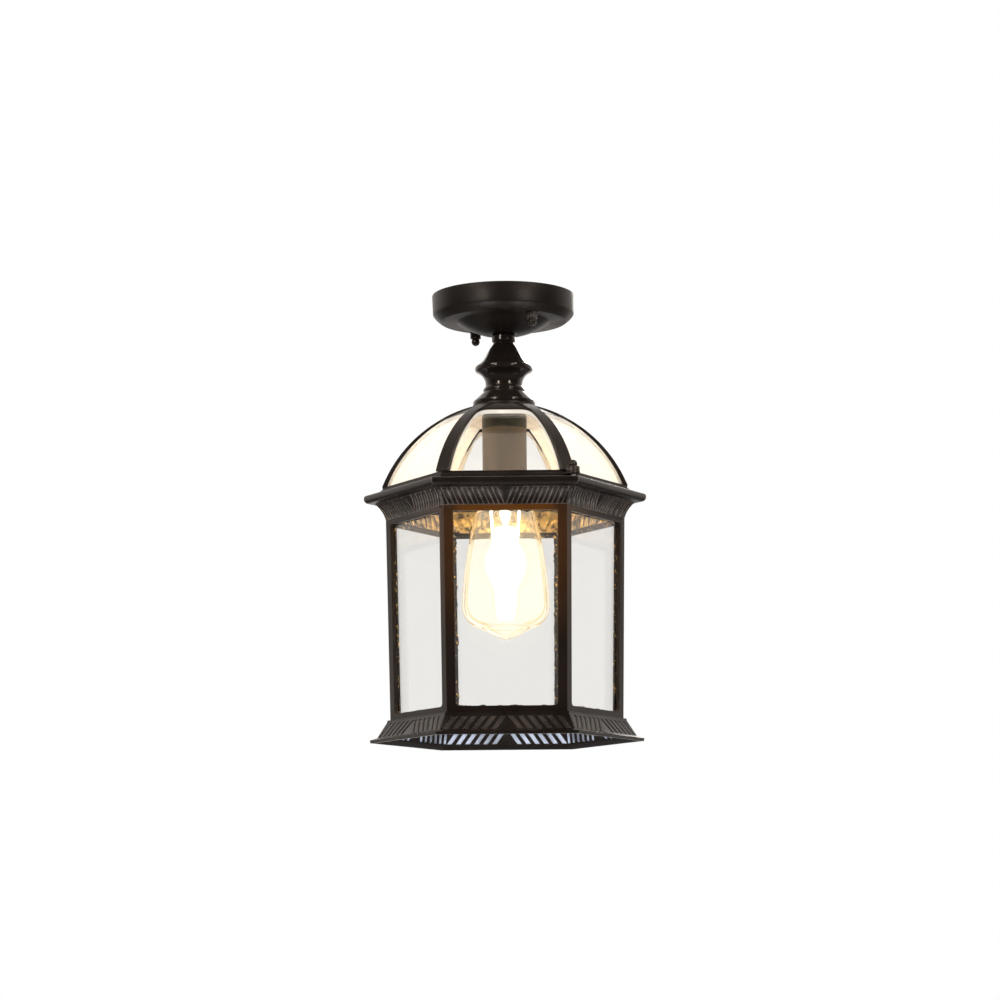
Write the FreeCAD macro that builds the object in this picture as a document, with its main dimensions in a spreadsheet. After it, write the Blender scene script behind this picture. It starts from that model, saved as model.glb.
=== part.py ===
import FreeCAD, Part
import math
import os

import Sketcher
from FreeCAD import Placement, Rotation, Vector

# Porch ceiling lantern, in millimetres.
# The frame's origin is the middle of the canopy's rim, in the plane of the ceiling. +Z points up, so
# the lantern hangs below it, and the front face of its six-sided cage looks along -Y.
# "Radius" on a six-sided piece is measured to its corners, and drops are counted downwards.

DIMENSIONS = {
    # canopy: a spun pan with a straight band, a chamfer, a flat ring and a shallow bowl
    "canopy_radius": 56.0,
    "canopy_taper": 0.6,
    "canopy_band": 15.0,
    "canopy_chamfer": 6.0,
    "canopy_chamfer_run": 6.4,
    "canopy_wall": 1.2,
    "bowl_radius": 36.9,
    "bowl_depth": 10.3,
    "bowl_swell": 1.35,
    "bowl_seat_radius": 12.5,
    # mounting hardware inside the canopy
    "crossbar_length": 102.0,
    "crossbar_width": 22.0,
    "crossbar_thickness": 2.0,
    "crossbar_middle_radius": 5.0,
    "box_hole_circle": 69.85,
    "box_hole_radius": 2.25,
    "stud_circle": 88.9,
    "stud_radius": 1.95,
    "thread_gap": 0.05,
    "stud_hole_gap": 0.3,
    "stud_inset": 0.3,
    "lock_nut_height": 3.2,
    "lock_nut_flats": 7.0,
    "ground_screw_place": 16.0,
    "ground_screw_head_radius": 3.6,
    "ground_screw_head": 2.6,
    # hollow stem that ties canopy, neck, dome frame and socket together
    "stem_radius": 5.0,
    "stem_bore_radius": 3.5,
    "stem_gap": 0.1,
    "stem_projection": 1.6,
    "stem_nut_height": 4.0,
    "stem_nut_flats": 14.0,
    "stem_washer_radius": 8.0,
    "stem_washer_height": 1.0,
    "collar_radius": 9.2,
    "collar_height": 5.9,
    "collar_round": 1.3,
    # turned neck column, from its throat down to its foot
    "neck_throat_radius": 8.1,
    "neck_throat_drop": 1.4,
    "neck_lip_radius": 10.9,
    "neck_lip_drop": 3.8,
    "neck_bell_radius": 14.7,
    "neck_bell_drop": 7.1,
    "neck_flare_radius": 20.9,
    "neck_flare_drop": 6.4,
    "neck_disc_radius": 21.8,
    "neck_disc_drop": 4.8,
    "neck_disc_swell": 1.3,
    "neck_waist_radius": 14.4,
    "neck_waist_drop": 9.3,
    "neck_scotia_hollow": 1.65,
    "neck_neckline_drop": 2.4,
    "neck_bead_radius": 16.2,
    "neck_bead_drop": 2.6,
    "neck_bead_edge": 2.0,
    "neck_cone_radius": 24.1,
    "neck_cone_drop": 7.6,
    "neck_foot_drop": 3.2,
    "neck_foot_swell": 0.45,
    # ball-ended nuts: knurled collar, ball, blind bore
    "nut_washer_height": 0.6,
    "nut_washer_rim": 0.3,
    "nut_chamfer": 0.4,
    "nut_gap": 0.06,
    "knurl_radius": 0.45,
    "canopy_nut_collar_radius": 4.3,
    "canopy_nut_collar": 4.6,
    "canopy_nut_ball_radius": 3.3,
    "canopy_nut_neck_radius": 2.7,
    "canopy_nut_height": 10.4,
    "canopy_nut_bore": 7.0,
    "roof_nut_collar_radius": 5.0,
    "roof_nut_collar": 4.2,
    "roof_nut_ball_radius": 3.3,
    "roof_nut_neck_radius": 2.7,
    "roof_nut_height": 9.4,
    "roof_nut_bore": 6.3,
    # dome frame: crown, cap, six ribs and base ring, cast in one
    "dome_height": 64.2,
    "crown_radius": 24.6,
    "crown_thickness": 4.0,
    "dome_arc_radius": 105.0,
    "dome_centre_offset": 2.3,
    "dome_centre_drop": 102.5,
    "dome_wall": 3.5,
    "dome_foot_rise": 3.5,
    "dome_foot_spread": 1.6,
    "cap_sink": 0.5,
    "cap_reach": 54.0,
    "dome_window_top": 40.0,
    "dome_window_round": 7.0,
    "rib_crown_width": 7.6,
    "rib_foot_width": 10.6,
    "ring_height": 4.5,
    "ring_reach": 4.0,
    "ring_step_height": 2.2,
    "ring_step": 1.4,
    "ring_inner_radius": 84.9,
    "lug_reach": 9.5,
    "lug_half_width": 5.5,
    "lug_end_swell": 4.9,
    "lug_height": 1.1,
    "lug_gap": 0.1,
    "roof_stud_depth": 6.0,
    # glass and sealant
    "glass_thickness": 2.0,
    "glass_gap": 0.2,
    "glass_foot_gap": 0.3,
    "dome_glass_tuck": 4.0,
    "pane_edge_gap": 1.2,
    "sealant_gap": 0.05,
    "sealant_half_width": 4.2,
    "sealant_depth": 3.2,
    "sealant_bead": 2.2,
    "corner_bead_half_width": 1.6,
    "corner_bead_drop": 6.0,
    "side_glass_tuck": 1.9,
    # cornice
    "cornice_height": 21.1,
    "cornice_flat": 4.5,
    "cornice_slope_drop": 1.9,
    "cornice_rim_reach": 16.3,
    "cornice_rim_drop": 7.9,
    "cornice_rim_undercut": 1.7,
    "cornice_rim_swell": 1.6,
    "cove_reach": 8.4,
    "cove_top_drop": 8.5,
    "cove_hollow": 1.2,
    "cornice_wall": 3.5,
    "cornice_roof": 3.0,
    "cornice_shoulder": 3.5,
    "cornice_shoulder_run": 1.4,
    # cage: top band, six posts and bottom rail, with a tab in three of its corners
    "cage_top_radius": 93.0,
    "cage_bottom_radius": 89.95,
    "cage_height": 156.1,
    "cage_wall": 3.0,
    "window_top_drop": 4.4,
    "window_foot_rise": 4.7,
    "post_face": 7.0,
    "window_foot_round": 3.0,
    "window_top_round": 1.0,
    "tab_inset": 13.0,
    "tab_half_width": 4.5,
    "tab_screw_inset": 9.0,
    "cage_tab_thickness": 1.7,
    "cornice_tab_thickness": 2.5,
    "tab_screw_radius": 1.45,
    "tab_screw_head_radius": 2.8,
    "tab_screw_head": 1.8,
    "tab_screw_length": 6.5,
    "screw_gap": 0.05,
    "skirt_screw_inset": 1.95,
    "skirt_screw_radius": 0.9,
    "skirt_screw_head_radius": 1.6,
    "skirt_screw_head": 1.2,
    "skirt_screw_length": 8.0,
    # base skirt
    "skirt_top_step": 2.3,
    "skirt_shoulder_step": 0.3,
    "skirt_shoulder_drop": 1.7,
    "skirt_flare": 7.65,
    "skirt_slope_drop": 11.8,
    "skirt_lip_reach": 5.7,
    "skirt_lip_drop": 1.7,
    "skirt_height": 17.4,
    "skirt_lip_undercut": 0.5,
    "skirt_lip_width": 2.4,
    "skirt_wall": 3.0,
    "skirt_flange_radius": 83.0,
    "skirt_flange": 2.5,
    # reeds, slanted towards the middle of each face
    "reed_depth": 0.6,
    "reed_root": 0.3,
    "reed_groove": 3.8,
    "reed_middle": 0.6,
    "reed_margin": 0.8,
    "reed_land": 0.3,
    "cornice_reed_lean": 5.6,
    "skirt_reed_lean": 7.6,
    # lamp socket
    "socket_nut_height": 2.6,
    "socket_cup_radius": 17.5,
    "socket_cup_height": 12.4,
    "socket_sleeve_radius": 17.3,
    "socket_sleeve_height": 47.6,
    "socket_wall": 1.2,
    "insulator_gap": 0.3,
    "insulator_drop": 18.4,
    "insulator_thickness": 6.0,
    "insulator_skirt": 12.0,
    "insulator_wall": 1.2,
    "shell_gap": 0.2,
    "shell_wall": 0.4,
    "shell_length": 26.0,
    "contact_radius": 4.0,
    "contact_thickness": 0.8,
    "contact_gap": 0.3,
    "terminal_place": 10.5,
    "terminal_radius": 2.6,
    "terminal_head": 1.6,
    # bulb
    "bulb_cap_radius": 13.1,
    "bulb_cap_height": 24.0,
    "bulb_cap_wall": 0.5,
    "bulb_cap_shoulder": 4.0,
    "bulb_cap_top_radius": 9.0,
    "bulb_button_radius": 4.6,
    "bulb_button": 1.2,
    "bulb_button_shoulder": 2.0,
    "bulb_neck_radius": 12.4,
    "bulb_neck_length": 3.0,
    "bulb_throat_radius": 13.4,
    "bulb_throat_drop": 2.0,
    "bulb_shoulder_radius": 20.5,
    "bulb_shoulder_drop": 15.0,
    "bulb_shoulder_hollow": 0.6,
    "bulb_radius": 34.0,
    "bulb_side_drop": 80.0,
    "bulb_side_swell": 2.6,
    "bulb_round_radius": 19.0,
    "bulb_round_drop": 19.0,
    "bulb_round_swell": 4.6,
    "bulb_tip_drop": 9.0,
    "bulb_tip_swell": 1.1,
    "bulb_glass": 0.9,
    "bulb_stem_radius": 5.0,
    "bulb_stem_length": 40.0,
    "filament_count": 6,
    "filament_radius": 0.9,
    "filament_top_circle": 13.0,
    "filament_foot_circle": 5.5,
    "filament_top_drop": 24.0,
    "filament_length": 88.0,
    "support_wire_radius": 0.5,
    "support_gap": 0.1,
    # leads
    "lead_radius": 1.2,
    "lead_spread": 1.7,
    "lead_bow": 0.15,
    "lead_turn_drop": 11.0,
    "lead_reach": 30.0,
    "lead_end_gap": 0.3,
    "connector_radius": 5.0,
    "connector_length": 19.0,
    "connector_bore": 12.0,
    "connector_gap": 0.2,
}

SIDES = 6
NUT_ANGLES = {"front": -60.0, "rear": 120.0}
LEAD_ANGLES = (30.0, 210.0)
COS30 = math.cos(math.radians(30))
TAN30 = math.tan(math.radians(30))
QUARTER = 1 - math.sqrt(0.5)
KNURLS = 14
REEDS = 6
SCREWS = 3
LEAD_SHARE = 0.45

doc = FreeCAD.newDocument("porch_lantern")
sheet = doc.addObject("Spreadsheet::Sheet", "sizes")
nodes = []


class Size(float):
    """A number that also carries the spreadsheet expression it comes from."""

    def __new__(cls, value, text):
        number = super().__new__(cls, value)
        number.text = text
        return number

    def __add__(self, other):
        return Size(float(self) + float(other), f"({self.text} + {text_of(other)})")

    __radd__ = __add__

    def __sub__(self, other):
        return Size(float(self) - float(other), f"({self.text} - {text_of(other)})")

    def __rsub__(self, other):
        return Size(float(other) - float(self), f"({text_of(other)} - {self.text})")

    def __mul__(self, other):
        return Size(float(self) * float(other), f"({self.text} * {text_of(other)})")

    __rmul__ = __mul__

    def __truediv__(self, other):
        return Size(float(self) / float(other), f"({self.text} / {text_of(other)})")

    def __neg__(self):
        return self * -1


def text_of(number):
    return number.text if isinstance(number, Size) else repr(float(number))


def root(number):
    return Size(math.sqrt(number), f"sqrt({text_of(number)})")


class Dimensions:
    """The spreadsheet's values by name."""

    def __init__(self, table):
        for row, (name, value) in enumerate(table.items(), start=1):
            sheet.set(f"A{row}", name)
            sheet.set(f"B{row}", str(value))
            sheet.setAlias(f"B{row}", name)
            setattr(self, name, Size(value, f"sizes.{name}"))


d = Dimensions(DIMENSIONS)
doc.recompute()


# ---- shared builders -------------------------------------------------------------------------------

def origin_of(body, role):
    return next(item for item in body.Origin.OriginFeatures if item.Role == role)


def new_body(name):
    body = doc.addObject("PartDesign::Body", name)
    body.Label = name
    return body


def new_sketch(body, name, plane="XZ_Plane", height=None):
    """A sketch on one of the body's own planes, raised by a height where one is given."""
    sketch = body.newObject("Sketcher::SketchObject", name)
    sketch.AttachmentSupport = (origin_of(body, plane), [""])
    sketch.MapMode = "FlatFace"
    if height is not None:
        sketch.AttachmentOffset = Placement(Vector(0, 0, float(height)), Rotation())
        sketch.setExpression("AttachmentOffset.Base.z", text_of(height))
    return sketch


def bind_constraint(sketch, kind, *place):
    """A dimension in a sketch, driven by the expression of its size."""
    *where, size = place
    index = sketch.addConstraint(Sketcher.Constraint(kind, *where, float(size)))
    if isinstance(size, Size):
        sketch.setExpression(f"Constraints[{index}]", size.text)


def arc_middle(start, end, bulge):
    """The middle of an arc that swells by bulge to the right of the way from start to end."""
    run = end - start
    return (start + end) / 2 + Vector(run.y, -run.x, 0).normalize() * bulge


def draw(sketch, points):
    """A closed outline through (u, v) or (u, v, bulge) points, which run counter-clockwise.

    A bulge belongs to the edge that ends at its point: positive swells the outline, negative hollows it.
    """
    count = len(points)
    ends = [Vector(float(point[0]), float(point[1]), 0) for point in points]
    first = sketch.GeometryCount
    starts = []
    for index in range(count):
        after = (index + 1) % count
        bulge = points[after][2] if len(points[after]) > 2 else 0
        start, end = ends[index], ends[after]
        if not bulge:
            sketch.addGeometry(Part.LineSegment(start, end))
            starts.append((1, 2))
            continue
        middle = arc_middle(start, end, float(bulge))
        turn = (start, end) if bulge > 0 else (end, start)
        sketch.addGeometry(Part.Arc(turn[0], middle, turn[1]))
        starts.append((1, 2) if bulge > 0 else (2, 1))
        rise = bulge if bulge > 0 else -bulge
        run_u = points[after][0] - points[index][0]
        run_v = points[after][1] - points[index][1]
        chord_squared = run_u * run_u + run_v * run_v
        bind_constraint(sketch, "Radius", first + index, chord_squared / (8 * rise) + rise / 2)
    for index in range(count):
        after = (index + 1) % count
        here = first + index
        sketch.addConstraint(
            Sketcher.Constraint("Coincident", here, starts[index][1], first + after, starts[after][0]))
        bind_constraint(sketch, "DistanceX", -1, 1, here, starts[index][0], points[index][0])
        bind_constraint(sketch, "DistanceY", -1, 1, here, starts[index][0], points[index][1])
    return sketch


def draw_circle(sketch, centre, radius):
    index = sketch.addGeometry(Part.Circle(Vector(float(centre[0]), float(centre[1]), 0),
                                           Vector(0, 0, 1), float(radius)))
    bind_constraint(sketch, "DistanceX", -1, 1, index, 3, centre[0])
    bind_constraint(sketch, "DistanceY", -1, 1, index, 3, centre[1])
    bind_constraint(sketch, "Radius", index, radius)


def add_feature(body, kind, name, profile):
    feature = body.newObject(f"PartDesign::{kind}", name)
    feature.Profile = profile
    return feature


def pad(body, sketch, length, symmetric=False):
    feature = add_feature(body, "Pad", f"{sketch.Name}_pad", sketch)
    feature.SideType = "Symmetric" if symmetric else "One side"
    feature.Length = float(length)
    feature.setExpression("Length", text_of(length))
    return feature


def pocket(body, sketch, length=None):
    """A cut to both sides of the sketch: right through, or over a length split in two halves."""
    feature = add_feature(body, "Pocket", f"{sketch.Name}_cut", sketch)
    feature.SideType = "Symmetric"
    if length is None:
        feature.Type = "ThroughAll"
    else:
        feature.Length = float(length)
        feature.setExpression("Length", text_of(length))
    return feature


def rise_cut(body, sketch, length):
    """A cut that starts at the sketch and goes up."""
    feature = add_feature(body, "Pocket", f"{sketch.Name}_cut", sketch)
    feature.Reversed = True
    feature.Length = float(length)
    feature.setExpression("Length", text_of(length))
    return feature


def around_axis(body, feature, count=SIDES):
    pattern = body.newObject("PartDesign::PolarPattern", f"{feature.Name}_round")
    pattern.Originals = [feature]
    pattern.Axis = (origin_of(body, "Z_Axis"), [""])
    pattern.Angle = 360
    pattern.Occurrences = count
    body.Tip = pattern
    return pattern


def turned(name, points):
    """A piece turned about Z from its (radius, height) outline."""
    body = new_body(name)
    sketch = draw(new_sketch(body, f"{name}_outline"), points)
    feature = add_feature(body, "Revolution", f"{name}_turned", sketch)
    feature.ReferenceAxis = (sketch, ["V_Axis"])
    feature.Angle = 360
    return body


def tube(name, inner, outer, low, high):
    return turned(name, [(inner, low), (outer, low), (outer, high), (inner, high)])


def flattened(points):
    """A (radius to the corners, height) outline as (Y, height) on the face that looks along -Y."""
    count = len(points)
    flat = []
    for index in reversed(range(count)):
        here, after = points[index], points[(index + 1) % count]
        across, up = after[0] - here[0], after[1] - here[1]
        bulge = after[2] if len(after) > 2 else 0
        if bulge:
            full = root(across * across + up * up)
            squeezed = root(across * across * COS30 * COS30 + up * up)
            bulge = bulge * COS30 * full / squeezed
        flat.append((-(here[0] * COS30), here[1], bulge))
    return flat


def sweep_round(body, name, points):
    """Sweeps a (radius to the corners, height) outline round the six sides, mitred at the corners."""
    spine = new_sketch(body, f"{name}_path", "XY_Plane")
    reach = max(float(point[0]) for point in points)
    corners = [Vector(*polar(reach, side * 360 / SIDES), 0) for side in range(SIDES)]
    for index in range(SIDES):
        spine.addGeometry(Part.LineSegment(corners[index], corners[(index + 1) % SIDES]))
    section = draw(new_sketch(body, f"{name}_section", "YZ_Plane"), flattened(points))
    feature = add_feature(body, "AdditivePipe", f"{name}_sweep", section)
    feature.Spine = spine
    feature.Transition = "Right corner"
    return feature


def six_sided(name, points):
    body = new_body(name)
    sweep_round(body, name, points)
    return body


def polar(radius, degrees):
    angle = math.radians(degrees)
    return radius * math.cos(angle), radius * math.sin(angle)


def radial(radius, offset, degrees):
    """The point at a radius along a direction and an offset to its left."""
    along, across = polar(1, degrees)
    return radius * along - offset * across, radius * across + offset * along


def place(item, x=0, y=0, z=0, axis=(0, 0, 1), degrees=0):
    """Stands an item in the frame, with its place bound to the sheet."""
    item.Placement = Placement(Vector(float(x), float(y), float(z)), Rotation(Vector(*axis), degrees))
    for letter, value in zip("xyz", (x, y, z)):
        if isinstance(value, Size):
            item.setExpression(f".Placement.Base.{letter}", value.text)
    return item


def solid_node(name, shape):
    item = doc.addObject("Part::Feature", name)
    item.Label = name
    item.Shape = shape
    return item


def keep(*items):
    nodes.extend(items)


def group_node(name, sample, places):
    """One node that holds the same solid at several places."""
    doc.recompute()
    solids = []
    for spot in places:
        solid = sample.Shape.copy()
        solid.Placement = spot.multiply(solid.Placement)
        solids.append(solid)
    keep(solid_node(name, Part.makeCompound(solids)))


def spot(x=0, y=0, z=0, turn=0, flip=False):
    placed = Placement(Vector(float(x), float(y), float(z)), Rotation(Vector(0, 0, 1), turn))
    if flip:
        placed = placed.multiply(Placement(Vector(), Rotation(Vector(1, 0, 0), 180)))
    return placed


# ---- heights, counted down from the ceiling -----------------------------------------------------------

flat_z = -(d.canopy_band + d.canopy_chamfer)
seat_z = flat_z - d.bowl_depth
seat_top_z = seat_z + d.canopy_wall
neck_top_z = seat_z - d.collar_height
neck_drop = (d.neck_throat_drop + d.neck_lip_drop + d.neck_bell_drop + d.neck_flare_drop
             + d.neck_disc_drop + d.neck_waist_drop + d.neck_neckline_drop + d.neck_bead_drop
             + d.neck_bead_edge + d.neck_cone_drop + d.neck_foot_drop)
crown_z = neck_top_z - neck_drop
crown_foot_z = crown_z - d.crown_thickness
sill_z = crown_z - d.dome_height
cornice_z = sill_z - d.ring_height
cage_z = cornice_z - d.cornice_height
cage_foot_z = cage_z - d.cage_height
skirt_foot_z = cage_foot_z - d.skirt_height
socket_z = crown_foot_z - d.socket_nut_height
sleeve_z = socket_z - d.socket_cup_height
sleeve_foot_z = sleeve_z - d.socket_sleeve_height
stud_radius_place = d.stud_circle / 2
lug_radius = d.cage_top_radius + d.lug_reach


# ---- canopy and what holds it --------------------------------------------------------------------------

def make_canopy():
    edge = d.canopy_radius - d.canopy_taper
    ring = edge - d.canopy_chamfer_run
    wall = d.canopy_wall
    hole = d.stem_radius + d.stem_gap
    body = turned("canopy", [
        (hole, seat_z),
        (d.bowl_seat_radius, seat_z),
        (d.bowl_radius, flat_z, d.bowl_swell),
        (ring, flat_z),
        (edge, flat_z + d.canopy_chamfer, 0.5),
        (d.canopy_radius, 0),
        (d.canopy_radius - wall, 0),
        (edge - wall, flat_z + d.canopy_chamfer + wall / 2),
        (ring - wall / 2, flat_z + wall),
        (d.bowl_radius - wall / 2, flat_z + wall),
        (d.bowl_seat_radius, seat_top_z, -d.bowl_swell),
        (hole, seat_top_z),
    ])
    holes = new_sketch(body, "canopy_stud_holes", "XY_Plane")
    for degrees in NUT_ANGLES.values():
        draw_circle(holes, polar(stud_radius_place, degrees), d.stud_radius + d.stud_hole_gap)
    pocket(body, holes)
    keep(body)


def make_crossbar():
    body = new_body("mounting_crossbar")
    half_length = d.crossbar_length / 2
    half_width = d.crossbar_width / 2
    corner = d.crossbar_width / 6
    bar = new_sketch(body, "crossbar_outline", "XY_Plane")
    draw(bar, [
        (-half_length, -half_width + corner),
        (-half_length + corner, -half_width, corner * QUARTER),
        (half_length - corner, -half_width),
        (half_length, -half_width + corner, corner * QUARTER),
        (half_length, half_width - corner),
        (half_length - corner, half_width, corner * QUARTER),
        (-half_length + corner, half_width),
        (-half_length, half_width - corner, corner * QUARTER),
    ])
    pad(body, bar, d.crossbar_thickness * 2, symmetric=True)
    trim = new_sketch(body, "crossbar_top", "XY_Plane")
    draw(trim, [(-half_length * 2, -half_width * 2), (half_length * 2, -half_width * 2),
                (half_length * 2, half_width * 2), (-half_length * 2, half_width * 2)])
    rise_cut(body, trim, d.crossbar_thickness * 2)
    holes = new_sketch(body, "crossbar_holes", "XY_Plane")
    draw_circle(holes, (0, 0), d.crossbar_middle_radius)
    draw_circle(holes, (0, d.crossbar_width / 3), d.stud_radius / 2)
    for side in (-1, 1):
        draw_circle(holes, (side * d.box_hole_circle / 2, 0), d.box_hole_radius)
        draw_circle(holes, (side * stud_radius_place, 0), d.stud_radius + d.thread_gap)
    draw_circle(holes, (d.ground_screw_place, 0), d.stud_radius + d.thread_gap)
    pocket(body, holes)
    keep(place(body, degrees=NUT_ANGLES["front"]))


def hex_nut(name, flats, bore, height):
    """A hexagon nut that stands on Z = 0."""
    body = new_body(name)
    sketch = new_sketch(body, f"{name}_outline", "XY_Plane")
    corner = flats / (2 * COS30)
    draw(sketch, [polar(corner, side * 360 / SIDES) for side in range(SIDES)])
    pad(body, sketch, height)
    hole = new_sketch(body, f"{name}_bore", "XY_Plane")
    draw_circle(hole, (0, 0), bore)
    pocket(body, hole)
    return body


def make_canopy_fasteners():
    stud_foot_z = flat_z - d.nut_washer_height - d.canopy_nut_bore + d.nut_gap
    stud = turned("canopy_stud", [
        (0, stud_foot_z),
        (d.stud_radius, stud_foot_z),
        (d.stud_radius, -d.stud_inset),
        (0, -d.stud_inset),
    ])
    lock_nut = hex_nut("stud_lock_nut", d.lock_nut_flats, d.stud_radius + d.thread_gap, d.lock_nut_height)
    nut_z = -(d.crossbar_thickness + d.lock_nut_height)
    places = [polar(stud_radius_place, degrees) for degrees in NUT_ANGLES.values()]
    group_node("canopy_studs", stud, [spot(x, y) for x, y in places])
    group_node("stud_lock_nuts", lock_nut, [spot(x, y, nut_z) for x, y in places])
    head_z = -(d.crossbar_thickness + d.ground_screw_head)
    screw = turned("ground_screw", [
        (0, head_z),
        (d.ground_screw_head_radius, head_z),
        (d.ground_screw_head_radius, -d.crossbar_thickness),
        (d.stud_radius, -d.crossbar_thickness),
        (d.stud_radius, -d.stud_inset),
        (0, -d.stud_inset),
    ])
    x, y = polar(d.ground_screw_place, NUT_ANGLES["front"])
    keep(place(screw, x, y))


def make_stem():
    nut_top_z = seat_top_z + d.stem_washer_height + d.stem_nut_height
    bore = d.stem_radius + d.stem_gap
    keep(tube("stem_tube", d.stem_bore_radius, d.stem_radius,
              socket_z - d.insulator_thickness / 2, nut_top_z + d.stem_projection))
    keep(tube("stem_washer", bore, d.stem_washer_radius,
              seat_top_z, seat_top_z + d.stem_washer_height))
    nut = hex_nut("stem_top_nut", d.stem_nut_flats, bore, d.stem_nut_height)
    keep(place(nut, z=seat_top_z + d.stem_washer_height))
    nut = hex_nut("stem_bottom_nut", d.stem_nut_flats, bore, d.socket_nut_height)
    keep(place(nut, z=socket_z))
    inner = d.collar_radius - d.collar_round
    keep(turned("stem_collar", [
        (bore, neck_top_z),
        (inner, neck_top_z),
        (d.collar_radius, neck_top_z + d.collar_round, d.collar_round * QUARTER),
        (d.collar_radius, seat_z - d.collar_round),
        (inner, seat_z, d.collar_round * QUARTER),
        (bore, seat_z),
    ]))


def make_neck():
    steps = [
        (d.neck_foot_drop, d.neck_cone_radius, d.neck_foot_swell),
        (d.neck_cone_drop, d.neck_bead_radius - d.neck_foot_swell, 0),
        (d.neck_bead_edge, d.neck_bead_radius, 0.3),
        (d.neck_bead_drop, d.neck_waist_radius, 0),
        (d.neck_neckline_drop, d.neck_waist_radius, 0),
        (d.neck_waist_drop, d.neck_disc_radius, -d.neck_scotia_hollow),
        (d.neck_disc_drop, d.neck_flare_radius, d.neck_disc_swell),
        (d.neck_flare_drop, d.neck_bell_radius, -0.5),
        (d.neck_bell_drop, d.neck_lip_radius, 0),
        (d.neck_lip_drop, d.neck_throat_radius, 0),
        (d.neck_throat_drop, d.neck_throat_radius, 0),
    ]
    bore = d.stem_radius + d.stem_gap
    points = [(bore, crown_z), (d.neck_cone_radius - d.neck_foot_swell, crown_z)]
    height = crown_z
    for drop, radius, bulge in steps:
        height = height + drop
        points.append((radius, height, bulge))
    points.append((bore, height))
    keep(turned("neck_column", points))


# ---- ball-ended nuts and their washers -----------------------------------------------------------------

def ball_nut(name, collar_radius, collar, ball_radius, neck_radius, height, bore_depth):
    """A nut that stands on Z = 0 with its ball on top and its blind bore below."""
    bore = d.stud_radius + d.nut_gap
    ball_z = height - ball_radius
    undercut = (ball_z - collar - d.nut_chamfer)
    body = turned(name, [
        (bore, 0),
        (collar_radius - d.nut_chamfer, 0),
        (collar_radius, d.nut_chamfer),
        (collar_radius, collar - d.nut_chamfer),
        (collar_radius - d.nut_chamfer, collar),
        (neck_radius, collar + d.nut_chamfer),
        (ball_radius, ball_z, undercut / 8),
        (0, height, ball_radius * QUARTER),
        (0, bore_depth),
        (bore, bore_depth),
    ])
    knurl = new_sketch(body, f"{name}_knurl", "XY_Plane")
    draw_circle(knurl, (collar_radius, 0), d.knurl_radius)
    around_axis(body, pocket(body, knurl, collar * 2), KNURLS)
    return body


def nut_washer(name, collar_radius):
    return tube(name, d.stud_radius + d.nut_gap, collar_radius + d.nut_washer_rim, 0, d.nut_washer_height)


def make_ball_nuts():
    lug_top_z = cornice_z + d.lug_height
    for end, degrees in NUT_ANGLES.items():
        x, y = polar(stud_radius_place, degrees)
        washer = nut_washer(f"canopy_washer_{end}", d.canopy_nut_collar_radius)
        keep(place(washer, x, y, flat_z - d.nut_washer_height))
        nut = ball_nut(f"canopy_nut_{end}", d.canopy_nut_collar_radius, d.canopy_nut_collar,
                       d.canopy_nut_ball_radius, d.canopy_nut_neck_radius,
                       d.canopy_nut_height, d.canopy_nut_bore)
        keep(place(nut, x, y, flat_z - d.nut_washer_height, axis=(1, 0, 0), degrees=180))
        x, y = polar(lug_radius, degrees)
        washer = nut_washer(f"roof_washer_{end}", d.roof_nut_collar_radius)
        keep(place(washer, x, y, lug_top_z))
        nut = ball_nut(f"roof_nut_{end}", d.roof_nut_collar_radius, d.roof_nut_collar,
                       d.roof_nut_ball_radius, d.roof_nut_neck_radius,
                       d.roof_nut_height, d.roof_nut_bore)
        keep(place(nut, x, y, lug_top_z + d.nut_washer_height))


# ---- dome frame ------------------------------------------------------------------------------------------

dome_centre_z = crown_z - d.dome_centre_drop
dome_inner_arc = d.dome_arc_radius - d.dome_wall
pane_outer_arc = dome_inner_arc - d.glass_gap
pane_inner_arc = pane_outer_arc - d.glass_thickness / COS30
dome_foot_z = sill_z + d.dome_foot_rise


def dome_radius(arc, height):
    rise = height - dome_centre_z
    return root(arc * arc - rise * rise) - d.dome_centre_offset


def dome_z(arc, radius):
    run = radius + d.dome_centre_offset
    return dome_centre_z + root(arc * arc - run * run)


def arc_swell(start, end, arc):
    across, up = end[0] - start[0], end[1] - start[1]
    return arc - root(arc * arc - (across * across + up * up) / 4)


def dome_section(outer_arc, inner_arc, low, high):
    """The outline between two of the dome's arcs, from a low height up to a high radius."""
    low_outer = (dome_radius(outer_arc, low), low)
    low_inner = (dome_radius(inner_arc, low), low)
    high_outer = (high, dome_z(outer_arc, high))
    high_inner = (high, dome_z(inner_arc, high))
    return [
        (*low_inner, -arc_swell(high_inner, low_inner, inner_arc)),
        low_outer,
        (*high_outer, arc_swell(low_outer, high_outer, outer_arc)),
        high_inner,
    ]


def rib_half_width(radius):
    slope = (d.rib_foot_width - d.rib_crown_width) / (d.cage_top_radius - d.crown_radius) / 2
    return d.rib_crown_width / 2 + slope * (radius - d.crown_radius)


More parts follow.
